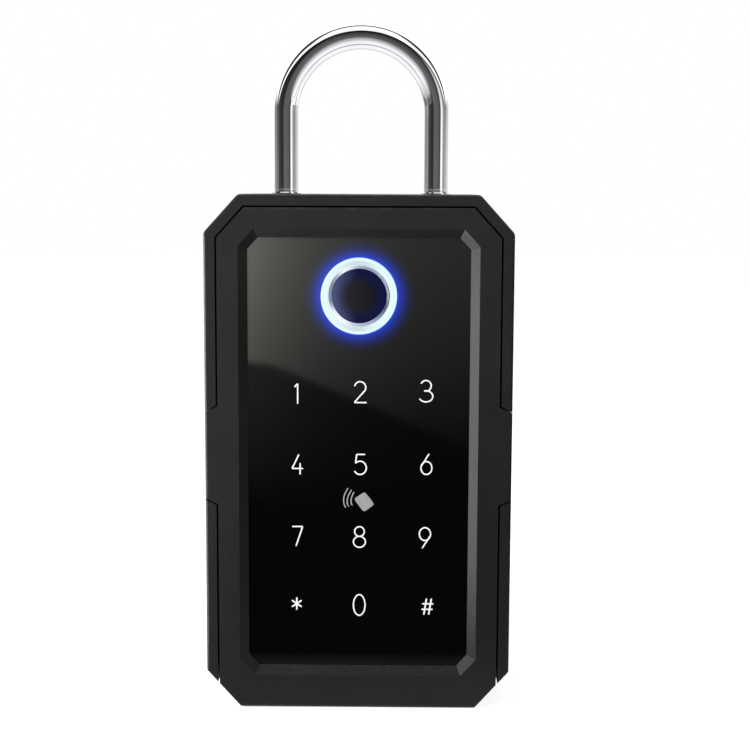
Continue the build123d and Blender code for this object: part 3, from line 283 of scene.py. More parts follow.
def shackle_rings(radius, groove_low, groove_high, groove_depth, end_round, columns=72):
    """Rings of a bent bar: two straight legs joined by half a circle.

    The centre line runs up the left leg, over the arch and down the right leg. A ring's radius is the bar's,
    less groove_depth between the groove's edges, and rounded off at the two ends. Each ring lies in the plane
    across the centre line: centre + radius * (outwards * cos(angle) + y * sin(angle)).
    """
    half = (SHACKLE_HIGH.x - SHACKLE_LOW.x) / 2 - radius
    middle_x = (SHACKLE_HIGH.x + SHACKLE_LOW.x) / 2
    depth = (SHACKLE_HIGH.y + SHACKLE_LOW.y) / 2
    bottom, arch = SHACKLE_LOW.z, SHACKLE_HIGH.z - radius - half
    groove_wall, caps = 0.00004, 8
    cap = end_round * (1 - np.cos(np.linspace(0.15, pi / 2, caps)))
    heights = np.concatenate([
        bottom + cap, [groove_low - groove_wall, groove_low, groove_high, groove_high + groove_wall],
        np.linspace(groove_high + 0.002, arch, 14),
    ])
    size = np.full(len(heights), radius)
    size[:caps] = radius - end_round + np.sqrt(end_round ** 2 - (end_round - cap) ** 2)
    size[caps + 1:caps + 3] = radius - groove_depth
    turn = np.linspace(0, pi, 122)[1:-1]
    x = np.concatenate([0 * heights - half, -half * np.cos(turn), 0 * heights + half]) + middle_x
    z = np.concatenate([heights, arch + half * np.sin(turn), heights[::-1]])
    size = np.concatenate([size, 0 * turn + radius, size[::-1]])
    out_x = np.concatenate([0 * heights - 1, -np.cos(turn), 0 * heights + 1])
    out_z = np.concatenate([0 * heights, np.sin(turn), 0 * heights])
    angle = np.arange(columns) / columns * tau
    x, z, size, out_x, out_z = (values[:, None] for values in (x, z, size, out_x, out_z))
    around = size * np.cos(angle)
    return np.stack([x + out_x * around, depth + size * np.sin(angle), z + out_z * around], axis=-1)


# Painted light round the reader as pairs of share and level, from the left over the bottom, right and top: the
# painted shade on the ring's inside, and the painted highlight of the ring's light on the bezel
RING_PAINTED_SHADE = (
    (0.0, 0.2), (0.083, 0.15), (0.167, 0.5), (0.25, 0.95), (0.333, 0.25), (0.417, 0.0), (0.5, 0.0), (0.583, 0.0),
    (0.667, 0.45), (0.75, 0.9), (0.833, 0.5), (0.917, 0.25), (1.0, 0.2),
)
BEZEL_PAINTED_HIGHLIGHT = (
    (0.0, 0.36), (0.04, 0.44), (0.083, 0.86), (0.167, 0.93), (0.215, 0.7), (0.27, 0.56), (0.333, 0.46),
    (0.417, 0.16), (0.5, 0.04), (0.583, 0.30), (0.667, 0.36), (0.75, 0.54), (0.833, 0.92), (0.88, 0.58),
    (0.93, 0.36), (1.0, 0.36),
)
# Lights round the box that the chrome reflects, as pairs of angle and level: 0 is in front and 90 at the right
WALL_LIGHTS = (
    (-180, 1.20), (-150, 0.55), (-138, 0.40), (-95, 0.27), (-68, 0.06), (-32, 0.03), (-20, 0.16),
    (26, 0.13), (33, 0.015), (38, 0.20), (45, 1.40), (57, 1.20), (66, 0.32), (95, 0.60), (180, 1.20),
)

# Camera: focal length in millimetres, place in metres, direction from the box towards it, and roll in degrees
CAMERA_LENS, CAMERA_PLACE = 72.64, (0.008414, -0.435306, 0.14542)
CAMERA_BACK, CAMERA_ROLL = (0.009337, -0.992494, 0.121939), 0.246


# Shader work

WHITE, BLACK, ORIGIN = (1.0, 1.0, 1.0), (0.0, 0.0, 0.0), (0.0, 0.0, 0.0)


def sum_of(operation, turned_round=False):
    """A method that adds a Math node; turned_round for a value that is written last."""
    def method(*given):
        return maths(operation, *(reversed(given) if turned_round else given))
    return method


class Value:
    """The value of a socket: each sum that is written with it adds a Math node to the socket's tree."""

    def __init__(self, socket):
        self.socket = socket

    __add__, __mul__, __pow__, __abs__ = sum_of("ADD"), sum_of("MULTIPLY"), sum_of("POWER"), sum_of("ABSOLUTE")
    __sub__, __rsub__ = sum_of("SUBTRACT"), sum_of("SUBTRACT", turned_round=True)
    __truediv__, __rtruediv__ = sum_of("DIVIDE"), sum_of("DIVIDE", turned_round=True)


def plug(socket, value):
    """Links a value to a socket, or sets the socket."""
    value = getattr(value, "socket", value)
    if isinstance(value, bpy.types.NodeSocket):
        socket.id_data.links.new(value, socket)
    else:
        socket.default_value = (*value, 1.0) if socket.type == "RGBA" else value


def node(tree, kind, inputs=(), **settings):
    """Adds a node with its settings and the values or links of its inputs."""
    made = tree.nodes.new(kind)
    for key, value in settings.items():
        setattr(made, key, value)
    for key, value in dict(inputs).items():
        plug(made.inputs[key], value)
    return made


def worked(kind, inputs, output=0, **settings):
    """Value of a new node, in the tree of the first of its inputs that is a value."""
    tree = next(entry.socket.id_data for entry in inputs.values() if isinstance(entry, Value))
    return Value(node(tree, kind, inputs, **settings).outputs[output])


def outputs_of(value):
    """All values of the node that made a value."""
    return [Value(output) for output in value.socket.node.outputs]


def maths(operation, *inputs, clamp=False):
    """Value of a Math node."""
    return worked("ShaderNodeMath", dict(enumerate(inputs)), operation=operation, use_clamp=clamp)


def vectors(operation, *inputs, output=0):
    """Value of a Vector Math node."""
    return worked("ShaderNodeVectorMath", dict(enumerate(inputs)), output, operation=operation)


def parts(vector):
    """The three parts of a vector."""
    return outputs_of(worked("ShaderNodeSeparateXYZ", {0: vector}))


def mixed(share, first, second):
    """Mix of two colours."""
    return worked("ShaderNodeMix", {0: share, 6: first, 7: second}, 2, data_type="RGBA")


def ranged(value, low, high, to_low=0.0, to_high=1.0, smooth=False):
    """A value taken from one range to another, and held at its ends; low may be above high."""
    return worked(
        "ShaderNodeMapRange", {0: value, 1: low, 2: high, 3: to_low, 4: to_high},
        interpolation_type="SMOOTHSTEP" if smooth else "LINEAR",
    )


def spread(height, to_low=0.0, to_high=1.0):
    """A noise taken to another range from the one that most of it lies in."""
    return ranged(height, 0.3, 0.7, to_low, to_high)


def noise(vector, scale, detail):
    """Noise from 0 to 1, most of it between 0.3 and 0.7."""
    return worked("ShaderNodeTexNoise", {"Vector": vector, "Scale": scale, "Detail": detail})


def levelled(value, levels, interpolation="LINEAR"):
    """The level that goes with a value from 0 to 1, from pairs of value and level."""
    ramp = worked("ShaderNodeValToRGB", {0: value})
    curve = ramp.socket.node.color_ramp
    curve.interpolation = interpolation
    while len(curve.elements) > 1:
        curve.elements.remove(curve.elements[-1])
    for index, (place, level) in enumerate(levels):
        stop = curve.elements.new(place) if index else curve.elements[0]
        stop.position = place
        stop.color = (level, level, level, 1.0)
    return worked("ShaderNodeRGBToBW", {0: ramp})


def scaled(values, factor):
    """A colour times a factor."""
    return [factor * value for value in values]


def bump(height, distance):
    """Normal with a bump from height."""
    return worked("ShaderNodeBump", {"Height": height, "Distance": distance, "Strength": 1.0})


def label(key):
    """A socket's name from a keyword."""
    return key.replace("_", " ").title()


def new_group(name, inputs, outputs, build):
    """A node group; inputs holds defaults, and build makes the values of its outputs from those of its inputs."""
    tree = bpy.data.node_groups.new(name, "ShaderNodeTree")
    for key, default in inputs.items():
        kind = {1: "Float", 3: "Vector", 4: "Color"}[np.size(default)]
        socket = tree.interface.new_socket(name=label(key), in_out="INPUT", socket_type="NodeSocket" + kind)
        socket.default_value = default
    for name in outputs:
        kind = "Color" if name == "Colour" else "Float"
        tree.interface.new_socket(name=name, in_out="OUTPUT", socket_type="NodeSocket" + kind)
    source, result = tree.nodes.new("NodeGroupInput"), tree.nodes.new("NodeGroupOutput")
    values = build(**{key: Value(source.outputs[label(key)]) for key in inputs})
    for name, value in zip(outputs, values):
        plug(result.inputs[name], value)
    return tree


def effect(name, outputs, **inputs):
    """Turns the function below it into a shared node group, which is made the first time it is placed.

    Placing it takes inputs in order or by keyword, and returns the values of its outputs, or of its only one.
    """
    def shared(build):
        def place(*given, **named):
            group = bpy.data.node_groups.get(name) or new_group(name, inputs, outputs, build)
            sockets = {label(key): value for key, value in (*zip(inputs, given), *named.items())}
            values = outputs_of(worked("ShaderNodeGroup", sockets, node_tree=group))
            return values if len(values) > 1 else values[0]
        return place
    return shared


@effect("Fine grain", ["Height", "Mottle"], position=ORIGIN, scale=2500.0, mottle_scale=60.0)
def grain(position, scale, mottle_scale):
    """Fine grain: a small noise as height, and a broad one as mottle."""
    return noise(position, scale, 3.0), spread(noise(position, mottle_scale, 2.0))


@effect("Edge wear", ["Mask"], position=ORIGIN, centre=ORIGIN, half_size=ORIGIN, width=0.001, breakup=400.0)
def edge_wear(position, centre, half_size, width, breakup):
    """Wear on the edges of a box: where the second nearest side of the box is also close, broken up by noise."""
    size = vectors("ABSOLUTE", vectors("SUBTRACT", position, centre))
    x, y, z = parts(vectors("SUBTRACT", size, half_size))
    second = maths("MAXIMUM", maths("MINIMUM", x, y), maths("MINIMUM", maths("MAXIMUM", x, y), z))
    return [ranged(second, width * -1.0, 0.0) * ranged(noise(position, breakup, 4.0), 0.45, 0.7)]


@effect("Fine dust", ["Mask"], position=ORIGIN, normal=(0.0, 0.0, 1.0))
def fine_dust(position, normal):
    """Dust on faces that look up: the upward share of the normal, times a speckled noise."""
    return [ranged(parts(normal)[2], 0.3, 1.0) * ranged(noise(position, 900.0, 5.0), 0.42, 0.75)]


@effect(
    "From the reader", ["Share", "Left", "Radius"],
    position=ORIGIN, centre=READER, inner=0.0, outer=0.01,
)
def from_axis(position, centre, inner, outer):
    """Distance from a line along y, as a share from an inner to an outer radius, how far left of it, and in metres."""
    flat = vectors("MULTIPLY", vectors("SUBTRACT", position, centre), (1.0, 0.0, 1.0))
    radius = vectors("LENGTH", flat, output="Value")
    return ranged(radius, inner, outer), ranged(parts(flat)[0], outer, outer * -1.0), radius


@effect("Turned lines", ["Height"], radius=0.0, scale=4000.0)
def turned_lines(radius, scale):
    """Tool lines round an axis: a noise that depends on the radius alone."""
    return [noise(worked("ShaderNodeCombineXYZ", {0: radius, 1: 0.0, 2: 0.0}), scale, 3.0)]


@effect(
    "Plating", ["Brushing", "Cloud"],
    position=ORIGIN, stretch=(4000.0, 4000.0, 300.0), cloud_scale=120.0,
)
def plating(position, stretch, cloud_scale):
    """Uneven plating: a stretched fine noise as brushing, and a broad one as clouding."""
    brushing = noise(vectors("MULTIPLY", position, stretch), 1.0, 4.0)
    return brushing, spread(noise(position, cloud_scale, 3.0))


@effect("Ring glow", ["Colour"], share=0.0, fall=4.5, strength=0.6, tint=(0.0, 0.05, 1.0, 1.0))
def ring_glow(share, fall, strength, tint):
    """Blue light that the ring throws on the glass, painted on as the glass's own glow: strength * (1 - t)^fall, t
    rising from the ring outwards.
    """
    left = maths("SUBTRACT", 1.0, share, clamp=True)
    return [mixed(left ** fall * strength, BLACK, tint)]


def round_reader(name, levels, position):
    """A level by the angle round the reader, as pairs of share and level: left, bottom, right, top and left again."""
    @effect(name, ["Strength"], position=ORIGIN, centre=READER)
    def by_angle(position, centre):
        x, _, z = parts(vectors("SUBTRACT", position, centre))
        return [levelled(ranged(maths("ARCTAN2", z, x), -pi, pi), levels, "CARDINAL")]
    return by_angle(position)


def cleared(data):
    """The empty node tree of a material or world."""
    data.use_nodes = True
    data.node_tree.nodes.clear()
    return data.node_tree


def feed(shader, **inputs):
    """Links or sets a shader's inputs; their names have underscores for spaces."""
    for key, value in inputs.items():
        plug(shader.inputs[key.replace("_", " ")], value)


def new_shader(name, **sockets):
    """A material with one Principled shader whose plain sockets are set, the object position and the normal."""
    material = bpy.data.materials.new(name)
    tree = cleared(material)
    shader = node(tree, "ShaderNodeBsdfPrincipled")
    feed(shader, **sockets)
    node(tree, "ShaderNodeOutputMaterial", {"Surface": shader.outputs[0]})
    place = node(tree, "ShaderNodeTexCoord").outputs
    return material, shader, Value(place["Object"]), Value(place["Normal"])


def dress(material, *names):
    """Gives every slot of the named CAD nodes one material."""
    for name in names:
        for slot in frame["nodes"][name].material_slots:
            slot.material = material


def nodes_in(slot_name):
    """CAD nodes whose record gives them that material slot."""
    return [part["node"] for part in frame["record"]["subparts"] if part["material_slot"] == slot_name]


# Sizes and colours that a user may change


def number_setting(name, description, default, **limits):
    """A number with its limits, unit or subtype."""
    return bpy.props.FloatProperty(name=name, description=description, default=default, **limits)


def length_setting(name, description, default, precision=5):
    """A length in metres."""
    return number_setting(name, description, default, unit="LENGTH", precision=precision)


def share_setting(name, description, default):
    """A share from 0 to 1."""
    return number_setting(name, description, default, min=0, max=1, subtype="FACTOR")


def colour_setting(name, description, default):
    """A colour."""
    return bpy.props.FloatVectorProperty(
        name=name, description=description, default=default, subtype="COLOR", size=3, min=0, max=1,
    )


class KeyBoxPaint(bpy.types.PropertyGroup):
    """Finish of the painted case and door."""

    base: colour_setting("Paint", "Colour of the paint", (0.0090, 0.0090, 0.0086))
    grain: length_setting("Grain", "Height of the paint's fine texture", 0.00003, precision=6)
    grain_scale: number_setting("Grain scale", "Grains to the metre", 2600.0, min=1.0)
    roughness: share_setting("Roughness", "Roughness of the paint", 0.38)
    wear: share_setting("Edge wear", "How far the edges are rubbed lighter", 0.12)
    wear_width: length_setting("Wear width", "Reach of the wear from an edge", 0.0009)
    dust: share_setting("Dust", "Share of dust on faces that look up", 0.06)


class KeyBoxKeypad(bpy.types.PropertyGroup):
    """Glass of the keypad and what is printed on it."""

    glass: colour_setting("Glass", "Colour behind the glass", (0.0014, 0.0014, 0.0016))
    ink: colour_setting("Ink", "Colour of the numerals", (0.86, 0.86, 0.86))
    faint_ink: colour_setting("Faint ink", "Colour of the card sign", (0.30, 0.30, 0.31))
    stroke: length_setting("Stroke", "Width of the numerals' strokes", 0.00038)
    wave_stroke: length_setting("Wave stroke", "Width of the card sign's waves", 0.00034)
    sign_weight: number_setting(
        "Sign weight", "Width of the star's and hash's strokes, as a share of the numerals'", 1.15, min=0.2, max=3,
    )
    rise: length_setting("Ink height", "How far the ink stands in front of the glass", 0.00003, precision=6)


class KeyBoxReader(bpy.types.PropertyGroup):
    """Fingerprint reader with its light ring and bezel."""

    ring_light: colour_setting("Ring light", "Colour of the lit ring", (0.75, 0.93, 0.95))
    ring_edge: colour_setting("Ring edge", "Colour at the ring's outer edge", (0.66, 0.90, 1.0))
    glow: number_setting("Glow", "Strength of the blue light on the glass", 0.72, min=0, max=4)
    glow_reach: length_setting("Glow reach", "How far the blue light reaches from the ring", 0.0075, precision=4)
    glow_tint: colour_setting("Glow tint", "Colour of the light on the glass", (0.0, 0.06, 1.0))
    bezel_light: colour_setting("Bezel light", "Colour of the ring's light on the bezel", (0.93, 0.97, 1.0))
    bezel_shade: colour_setting(
        "Bezel shade", "Colour of the ring's light on the bezel where it is weak", (0.45, 0.60, 1.0),
    )
    edge_round: length_setting("Ring rounding", "Rounding of the ring's front edges", 0.0004)
    dish: length_setting("Dish", "Depth of the hollow that a finger rests in", 0.00022)


class KeyBoxShackle(bpy.types.PropertyGroup):
    """Chromed shackle."""

    plate: colour_setting("Chrome", "Colour of the plating", (0.80, 0.81, 0.83))
    groove_depth: length_setting("Groove depth", "Depth of the locking groove", 0.0012)
    groove_room: length_setting("Groove room", "Room in the groove on each side of the slide", 0.0003)
    slide_thickness: length_setting("Slide thickness", "Thickness of the plate that grips the groove", 0.0016)
    end_round: length_setting("End rounding", "Rounding of the legs' ends", 0.0006)


class KeyBoxStudio(bpy.types.PropertyGroup):
    """Floor, lamps, reflections and camera."""

    floor: colour_setting("Floor", "Colour of the floor", (0.85, 0.85, 0.85))
    floor_lift: number_setting("Floor lift", "Light that only the camera sees on the floor", 0.75, min=0, max=1)
    ambient: number_setting("Ambient", "Soft light from all round", 0.30, min=0, max=2)
    key: number_setting("Key lamp", "Power of the lamp at the left", 6.5, min=0, unit="POWER")
    fill: number_setting("Fill lamp", "Power of the lamp at the right", 1.3, min=0, unit="POWER")
    front_card: number_setting("Front card", "Brightness of the soft card that the glass reflects", 2.5, min=0)
    side_card: number_setting("Side card", "Brightness of the card low at the left", 5.0, min=0)


# Operators


class KEYBOX_OT_paint_housing(bpy.types.Operator):
    """Paints the case and the door frame in fine textured matt black"""

    bl_idname = "key_box.paint_housing"
    bl_label = "Paint Housing"

    def execute(self, context):
        paint = context.scene.key_box_paint
        for name in nodes_in("case_paint"):
            low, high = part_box(name)
            material, shader, position, normal = new_shader("Textured paint " + name, IOR=1.5, Specular_IOR_Level=0.4)
            height, mottle = grain(position, paint.grain_scale, 45.0)
            wear = edge_wear(position, (low + high) / 2, (high - low) / 2, width=paint.wear_width, breakup=350.0)
            dust = fine_dust(position, normal)
            shade = mixed(mottle, paint.base, scaled(paint.base, 1.25))
            shade = mixed(wear * paint.wear, shade, (0.16, 0.16, 0.165))
            shade = mixed(dust * paint.dust, shade, (0.3, 0.29, 0.28))
            rough = spread(height, paint.roughness - 0.06, paint.roughness + 0.08)
            feed(shader, Base_Color=shade, Roughness=rough - wear * 0.12, Normal=bump(height, paint.grain))
            dress(material, name)
        return {"FINISHED"}


class KEYBOX_OT_finish_glass(bpy.types.Operator):
    """Polishes the keypad glass and lays the ring's blue glow on it"""

    bl_idname = "key_box.finish_glass"
    bl_label = "Finish Glass"

    def execute(self, context):
        keypad, reader = context.scene.key_box_keypad, context.scene.key_box_reader
        material, shader, position, normal = new_shader("Black keypad glass", IOR=1.5, Emission_Strength=1.0)
        _, mottle = grain(position, 2000.0, 70.0)
        dust = fine_dust(position, normal) * 0.2
        inner = RING_RADIUS - SEAM
        share, _, _ = from_axis(position, inner=inner, outer=inner + reader.glow_reach)
        # Painted light: the glass glows blue round the ring, fading outwards
        feed(
            shader, Base_Color=mixed(dust, keypad.glass, (0.2, 0.2, 0.2)),
            Roughness=ranged(mottle, 0.0, 1.0, 0.03, 0.055),
            Emission_Color=ring_glow(share, strength=reader.glow, tint=reader.glow_tint),
        )
        dress(material, *nodes_in("keypad_glass"))
        return {"FINISHED"}


class KEYBOX_OT_print_keypad(bpy.types.Operator):
    """Prints the numerals and the card sign on the glass"""

    bl_idname = "key_box.print_keypad"
    bl_label = "Print Keypad"

    def execute(self, context):
        keypad = context.scene.key_box_keypad
        inks = []
        for name, ink in (("Numeral ink", keypad.ink), ("Card sign ink", keypad.faint_ink)):
            material, shader, position, _ = new_shader(name, Specular_IOR_Level=0.4)
            height, mottle = grain(position, 6000.0, 900.0)
            feed(
                shader, Base_Color=mixed(mottle, scaled(ink, 0.9), ink),
                Roughness=spread(height, 0.45, 0.6), Normal=bump(height, 0.000004),
            )
            inks.append(material)
        half = keypad.stroke / 2
        for glyph, paths in GLYPHS.items():
            place = np.array(GLYPH_PLACES[glyph]) / 1000
            low, size = place[:2] + half, place[2:] - 2 * half
            weight = half * (keypad.sign_weight if glyph in ("star", "hash") else 1.0)
            shells = [
                printed_stroke(low + size * run, weight, keypad.rise)
                for path in paths for run in split_corners(path)
            ]
            make_piece("print_" + glyph, shells, "door", inks[0])
        sign = [card_plate(np.array(CARD_CORNERS) / 1000, keypad.rise)]
        for wave in CARD_WAVES:
            sign.append(printed_stroke(curve_through(wave) / 1000, keypad.wave_stroke / 2, keypad.rise))
        make_piece("print_card_sign", sign, "door", inks[1])
        return {"FINISHED"}


class KEYBOX_OT_make_light_ring(bpy.types.Operator):
    """Makes the lit ring round the reader: a turned ring with soft front edges"""

    bl_idname = "key_box.make_light_ring"
    bl_label = "Make Light Ring"

    def execute(self, context):
        reader = context.scene.key_box_reader
        material, shader, position, _ = new_shader("Lit ring", Emission_Strength=1.0, IOR=1.49)
        inner = RING_RADIUS - RING_WIDTH
        share, _, _ = from_axis(position, inner=inner, outer=RING_RADIUS)
        edge = ranged(share, 0.72, 1.0, smooth=True)
        light = mixed(edge, reader.ring_light, reader.ring_edge)
        dip = ranged(maths("SINE", share * (4.4 * pi)), -0.2, 0.9, 0.0, 0.45, smooth=True)
        # Painted shade: the ring glows as a lamp, and its inside is dimmed by the angle round the reader
        dimming = round_reader("Ring dimming", RING_PAINTED_SHADE, position)
        inside = dimming * ranged(share, 0.72, 0.55, smooth=True)
        height, mottle = grain(position, 3000.0, 400.0)
        feed(
            shader, Emission_Color=mixed(maths("MAXIMUM", dip, inside), light, scaled(reader.ring_light, 0.68)),
            Base_Color=mixed(mottle, (0.05, 0.06, 0.065), (0.065, 0.075, 0.08)),
            Roughness=spread(height, 0.3, 0.4),
        )
        front, back = RING_LOW.y, RING_HIGH.y
        profile = rounded(
            [(inner, back), (inner, front), (RING_RADIUS, front), (RING_RADIUS, back)],
            [0.0001, reader.edge_round, reader.edge_round, 0.0001],
        )
        ring = make_turned("light_ring_turned", profile, material)
        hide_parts("light_ring")
        return {"FINISHED"}


class KEYBOX_OT_make_bezel(bpy.types.Operator):
    """Makes the turned metal bezel: a steep cone with a fine land, lined by the lathe"""

    bl_idname = "key_box.make_bezel"
    bl_label = "Make Bezel"

    def execute(self, context):
        reader = context.scene.key_box_reader
        material, shader, position, _ = new_shader("Turned bezel", Metallic=1.0, Emission_Strength=1.0)
        _, _, radius = from_axis(position)
        lines = turned_lines(radius, scale=9000.0)
        # Painted highlight: the metal bezel glows by the angle round the reader, brightest at the lower and upper
        # left, for the ring's light that it would catch
        painted_highlight = round_reader("Caught light", BEZEL_PAINTED_HIGHLIGHT, position)
        tint = mixed(painted_highlight, reader.bezel_shade, reader.bezel_light)
        feed(
            shader, Emission_Color=mixed(painted_highlight, BLACK, tint),
            Base_Color=mixed(lines, (0.13, 0.15, 0.19), (0.20, 0.22, 0.26)),
            Roughness=spread(lines, 0.2, 0.34), Normal=bump(lines, 0.000006),
        )
        low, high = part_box("reader_bezel")
        disc_low, disc_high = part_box("fingerprint_reader")
        outer, inner = (high.x - low.x) / 2, (disc_high.x - disc_low.x) / 2 + SEAM
        front, back, land = low.y, high.y, 0.00022
        profile = rounded(
            [(outer, back), (outer, front), (outer - land, front), (inner, disc_low.y + SEAM), (inner, back)],
            [0.00005, 0.00005, 0.00008, 0.00006, 0.00005],
        )
        bezel = make_turned("reader_bezel_turned", profile, material, crease=30.0)
        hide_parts("reader_bezel")
        return {"FINISHED"}


class KEYBOX_OT_make_reader(bpy.types.Operator):
    """Makes the fingerprint reader's disc: dark and glossy, slightly dished for a finger"""

    bl_idname = "key_box.make_reader"
    bl_label = "Make Reader"

    def execute(self, context):
        reader = context.scene.key_box_reader
        low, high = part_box("fingerprint_reader")
        outer, front, back = (high.x - low.x) / 2, low.y, high.y
        material, shader, position, _ = new_shader("Reader disc", IOR=1.5, Specular_IOR_Level=0.06)
        share, left, _ = from_axis(position, inner=0.0, outer=outer)
        # Painted reflection: the disc is lighter towards its left. Painted glow: its rim is blue, lighter at the left,
        # for the ring's light on it
        middle = mixed(left, (0.001, 0.001, 0.004), (0.018, 0.017, 0.021))
        painted_rim_glow = mixed(ranged(left, 0.55, 1.0), (0.003, 0.004, 0.036), (0.062, 0.078, 0.165))
        height, mottle = grain(position, 2500.0, 250.0)
        feed(
            shader, Base_Color=mixed(ranged(share, 0.35, 1.0, smooth=True), middle, painted_rim_glow),
            Roughness=ranged(mottle, 0.0, 1.0, 0.12, 0.2), Normal=bump(height, 0.000002),
        )
        share = np.linspace(0.03, 0.95, 22)
        dish = np.stack([share * outer, front + reader.dish * (1 - share ** 2)], axis=1)
        edge = rounded(
            [dish[-1], (outer, front + 0.00002), (outer, back), (0.0005, back)], [0, 0.0002, 0.00015, 0], closed=False,
        )
        disc = make_turned("reader_disc", np.vstack([dish[:-1], edge]), material, closed=False)
        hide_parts("fingerprint_reader")
        return {"FINISHED"}


class KEYBOX_OT_make_shackle(bpy.types.Operator):
    """Makes the chromed shackle: a bent bar with a locking groove in each leg"""

    bl_idname = "key_box.make_shackle"
    bl_label = "Make Shackle"

    def execute(self, context):
        shackle = context.scene.key_box_shackle
        material, shader, position, _ = new_shader("Polished chrome", Metallic=1.0)
        _, cloud = plating(position, cloud_scale=90.0)
        feed(
            shader, Base_Color=mixed(cloud, shackle.plate, scaled(shackle.plate, 0.93)),
            Roughness=ranged(cloud, 0.0, 1.0, 0.012, 0.03),
        )
        slide_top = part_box("shackle_slide")[1].z
        rings = shackle_rings(
            (SHACKLE_HIGH.y - SHACKLE_LOW.y) / 2, slide_top - shackle.slide_thickness - shackle.groove_room,
            slide_top + shackle.groove_room, shackle.groove_depth, shackle.end_round,
        )
        bar = make_piece("shackle_bar", [skin(rings)], "shackle", material)
        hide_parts("shackle")
        dress(material, "shackle_bushes")
        return {"FINISHED"}


class KEYBOX_OT_finish_fittings(bpy.types.Operator):
    """Finishes the steel, brass, rubber and plastic fittings, the board and the cells"""

    bl_idname = "key_box.finish_fittings"
    bl_label = "Finish Fittings"

    def execute(self, context):
        for slot_name, name, first, second, low, high, stretch, relief in (
            ("steel", "Zinc plated steel", (0.46, 0.47, 0.49), (0.55, 0.55, 0.53), 0.24, 0.38,
             (500.0, 4000.0, 4000.0), 0.000004),
            ("brass", "Machined brass", (0.60, 0.42, 0.16), (0.72, 0.53, 0.24), 0.22, 0.36,
             (4000.0, 600.0, 4000.0), 0.000005),
        ):
            material, shader, position, _ = new_shader(name, Metallic=1.0)
            brushing, cloud = plating(position, stretch=stretch, cloud_scale=150.0)
            feed(
                shader, Base_Color=mixed(cloud, first, second),
                Roughness=spread(brushing, low, high), Normal=bump(brushing, relief),
            )
            dress(material, *nodes_in(slot_name))
        for slot_name, name, base, low, high, scale, relief in (
            ("rubber", "Moulded rubber", (0.012, 0.012, 0.012), 0.65, 0.8, 1500.0, 0.00003),
            ("inner_plastic", "Spark textured plastic", (0.02, 0.02, 0.022), 0.42, 0.58, 3200.0, 0.00002),
        ):
            material, shader, position, normal = new_shader(name, IOR=1.5)
            height, mottle = grain(position, scale, 80.0)
            dust = fine_dust(position, normal) * 0.08
            shade = mixed(mottle, base, scaled(base, 1.4))
            feed(
                shader, Base_Color=mixed(dust, shade, (0.25, 0.25, 0.24)),
                Roughness=spread(height, low, high), Normal=bump(height, relief),
            )
            dress(material, *nodes_in(slot_name))
        self.finish_board()
        self.finish_cells()
        return {"FINISHED"}

    def finish_board(self):
        """Green solder mask over copper tracks that change direction from patch to patch."""
        material, shader, position, _ = new_shader("Circuit board", IOR=1.5)
        patch = worked("ShaderNodeTexVoronoi", {"Vector": position, "Scale": 90.0}, "Color", distance="CHEBYCHEV")
        turn = maths("GREATER_THAN", worked("ShaderNodeSeparateColor", {0: patch}), 0.5)
        across, upright = (
            worked("ShaderNodeTexWave", {"Vector": position, "Scale": 220.0}, 1, bands_direction=way)
            for way in ("X", "Z")
        )
        track = ranged(across * turn + upright * (1.0 - turn), 0.55, 0.7)
        feed(
            shader, Base_Color=mixed(track, (0.008, 0.055, 0.022), (0.02, 0.13, 0.05)),
            Roughness=ranged(track, 0.0, 1.0, 0.3, 0.22), Normal=bump(track, 0.00002),
        )
        dress(material, *nodes_in("board"))

    def finish_cells(self):
        """Plain dark sleeves with bare metal ends and a pale band."""
        for name in nodes_in("cell_wrap"):
            low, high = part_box(name)
            half = (high.z - low.z) / 2
            material, shader, position, _ = new_shader("Cell sleeves", IOR=1.5)
            away = abs(parts(position)[2] - (low.z + high.z) / 2)
            end = ranged(away, half - 0.0024, half - 0.0021)
            band = ranged(away, 0.0150, 0.0151) - ranged(away, 0.0172, 0.0173)
            _, cloud = plating(position, cloud_scale=200.0)
            sleeve = mixed(cloud, (0.03, 0.035, 0.045), (0.04, 0.046, 0.06))
            sleeve = mixed(band, sleeve, (0.35, 0.37, 0.4))
            feed(
                shader, Base_Color=mixed(end, sleeve, (0.62, 0.62, 0.6)), Metallic=end,
                Roughness=ranged(cloud, 0.0, 1.0, 0.26, 0.36),
            )
            dress(material, name)


# Stage


def flat_card(name, corner, across, up, material, steps=2):
    """Flat grid that starts at corner and spans across and up."""
    share = np.linspace(0, 1, steps)
    u, v = np.meshgrid(share, share)
    points = np.array(corner) + u[..., None] * np.array(across) + v[..., None] * np.array(up)
    row, column = np.meshgrid(np.arange(steps - 1), np.arange(steps - 1), indexing="ij")
    first = (row * steps + column).reshape(-1)
    faces = np.stack([first, first + 1, first + steps + 1, first + steps], axis=1)
    card = new_object(name, new_mesh(name, points, faces.tolist(), material))
    return card


def only_reflected(card):
    """Hides a card from everything but reflections."""
    card.visible_camera = card.visible_diffuse = card.visible_shadow = False
    card.visible_transmission = card.visible_volume_scatter = False


def glowing(name, light, tint=WHITE, clear_behind=False):
    """A material that only emits, with the strength that light returns for a position."""
    material = bpy.data.materials.new(name)
    tree = cleared(material)
    place = node(tree, "ShaderNodeNewGeometry").outputs
    shader = node(tree, "ShaderNodeEmission", {"Color": tint, "Strength": light(Value(place["Position"]))})
    if clear_behind:
        clear = node(tree, "ShaderNodeBsdfTransparent").outputs[0]
        shader = node(tree, "ShaderNodeMixShader", {0: place["Backfacing"], 1: shader.outputs[0], 2: clear})
    node(tree, "ShaderNodeOutputMaterial", {"Surface": shader.outputs[0]})
    return material


def hang_card(name, corner, across, up, light, **looks):
    """A glowing card that only reflections see."""
    only_reflected(flat_card(name, corner, across, up, glowing(name.replace("_", " "), light, **looks)))


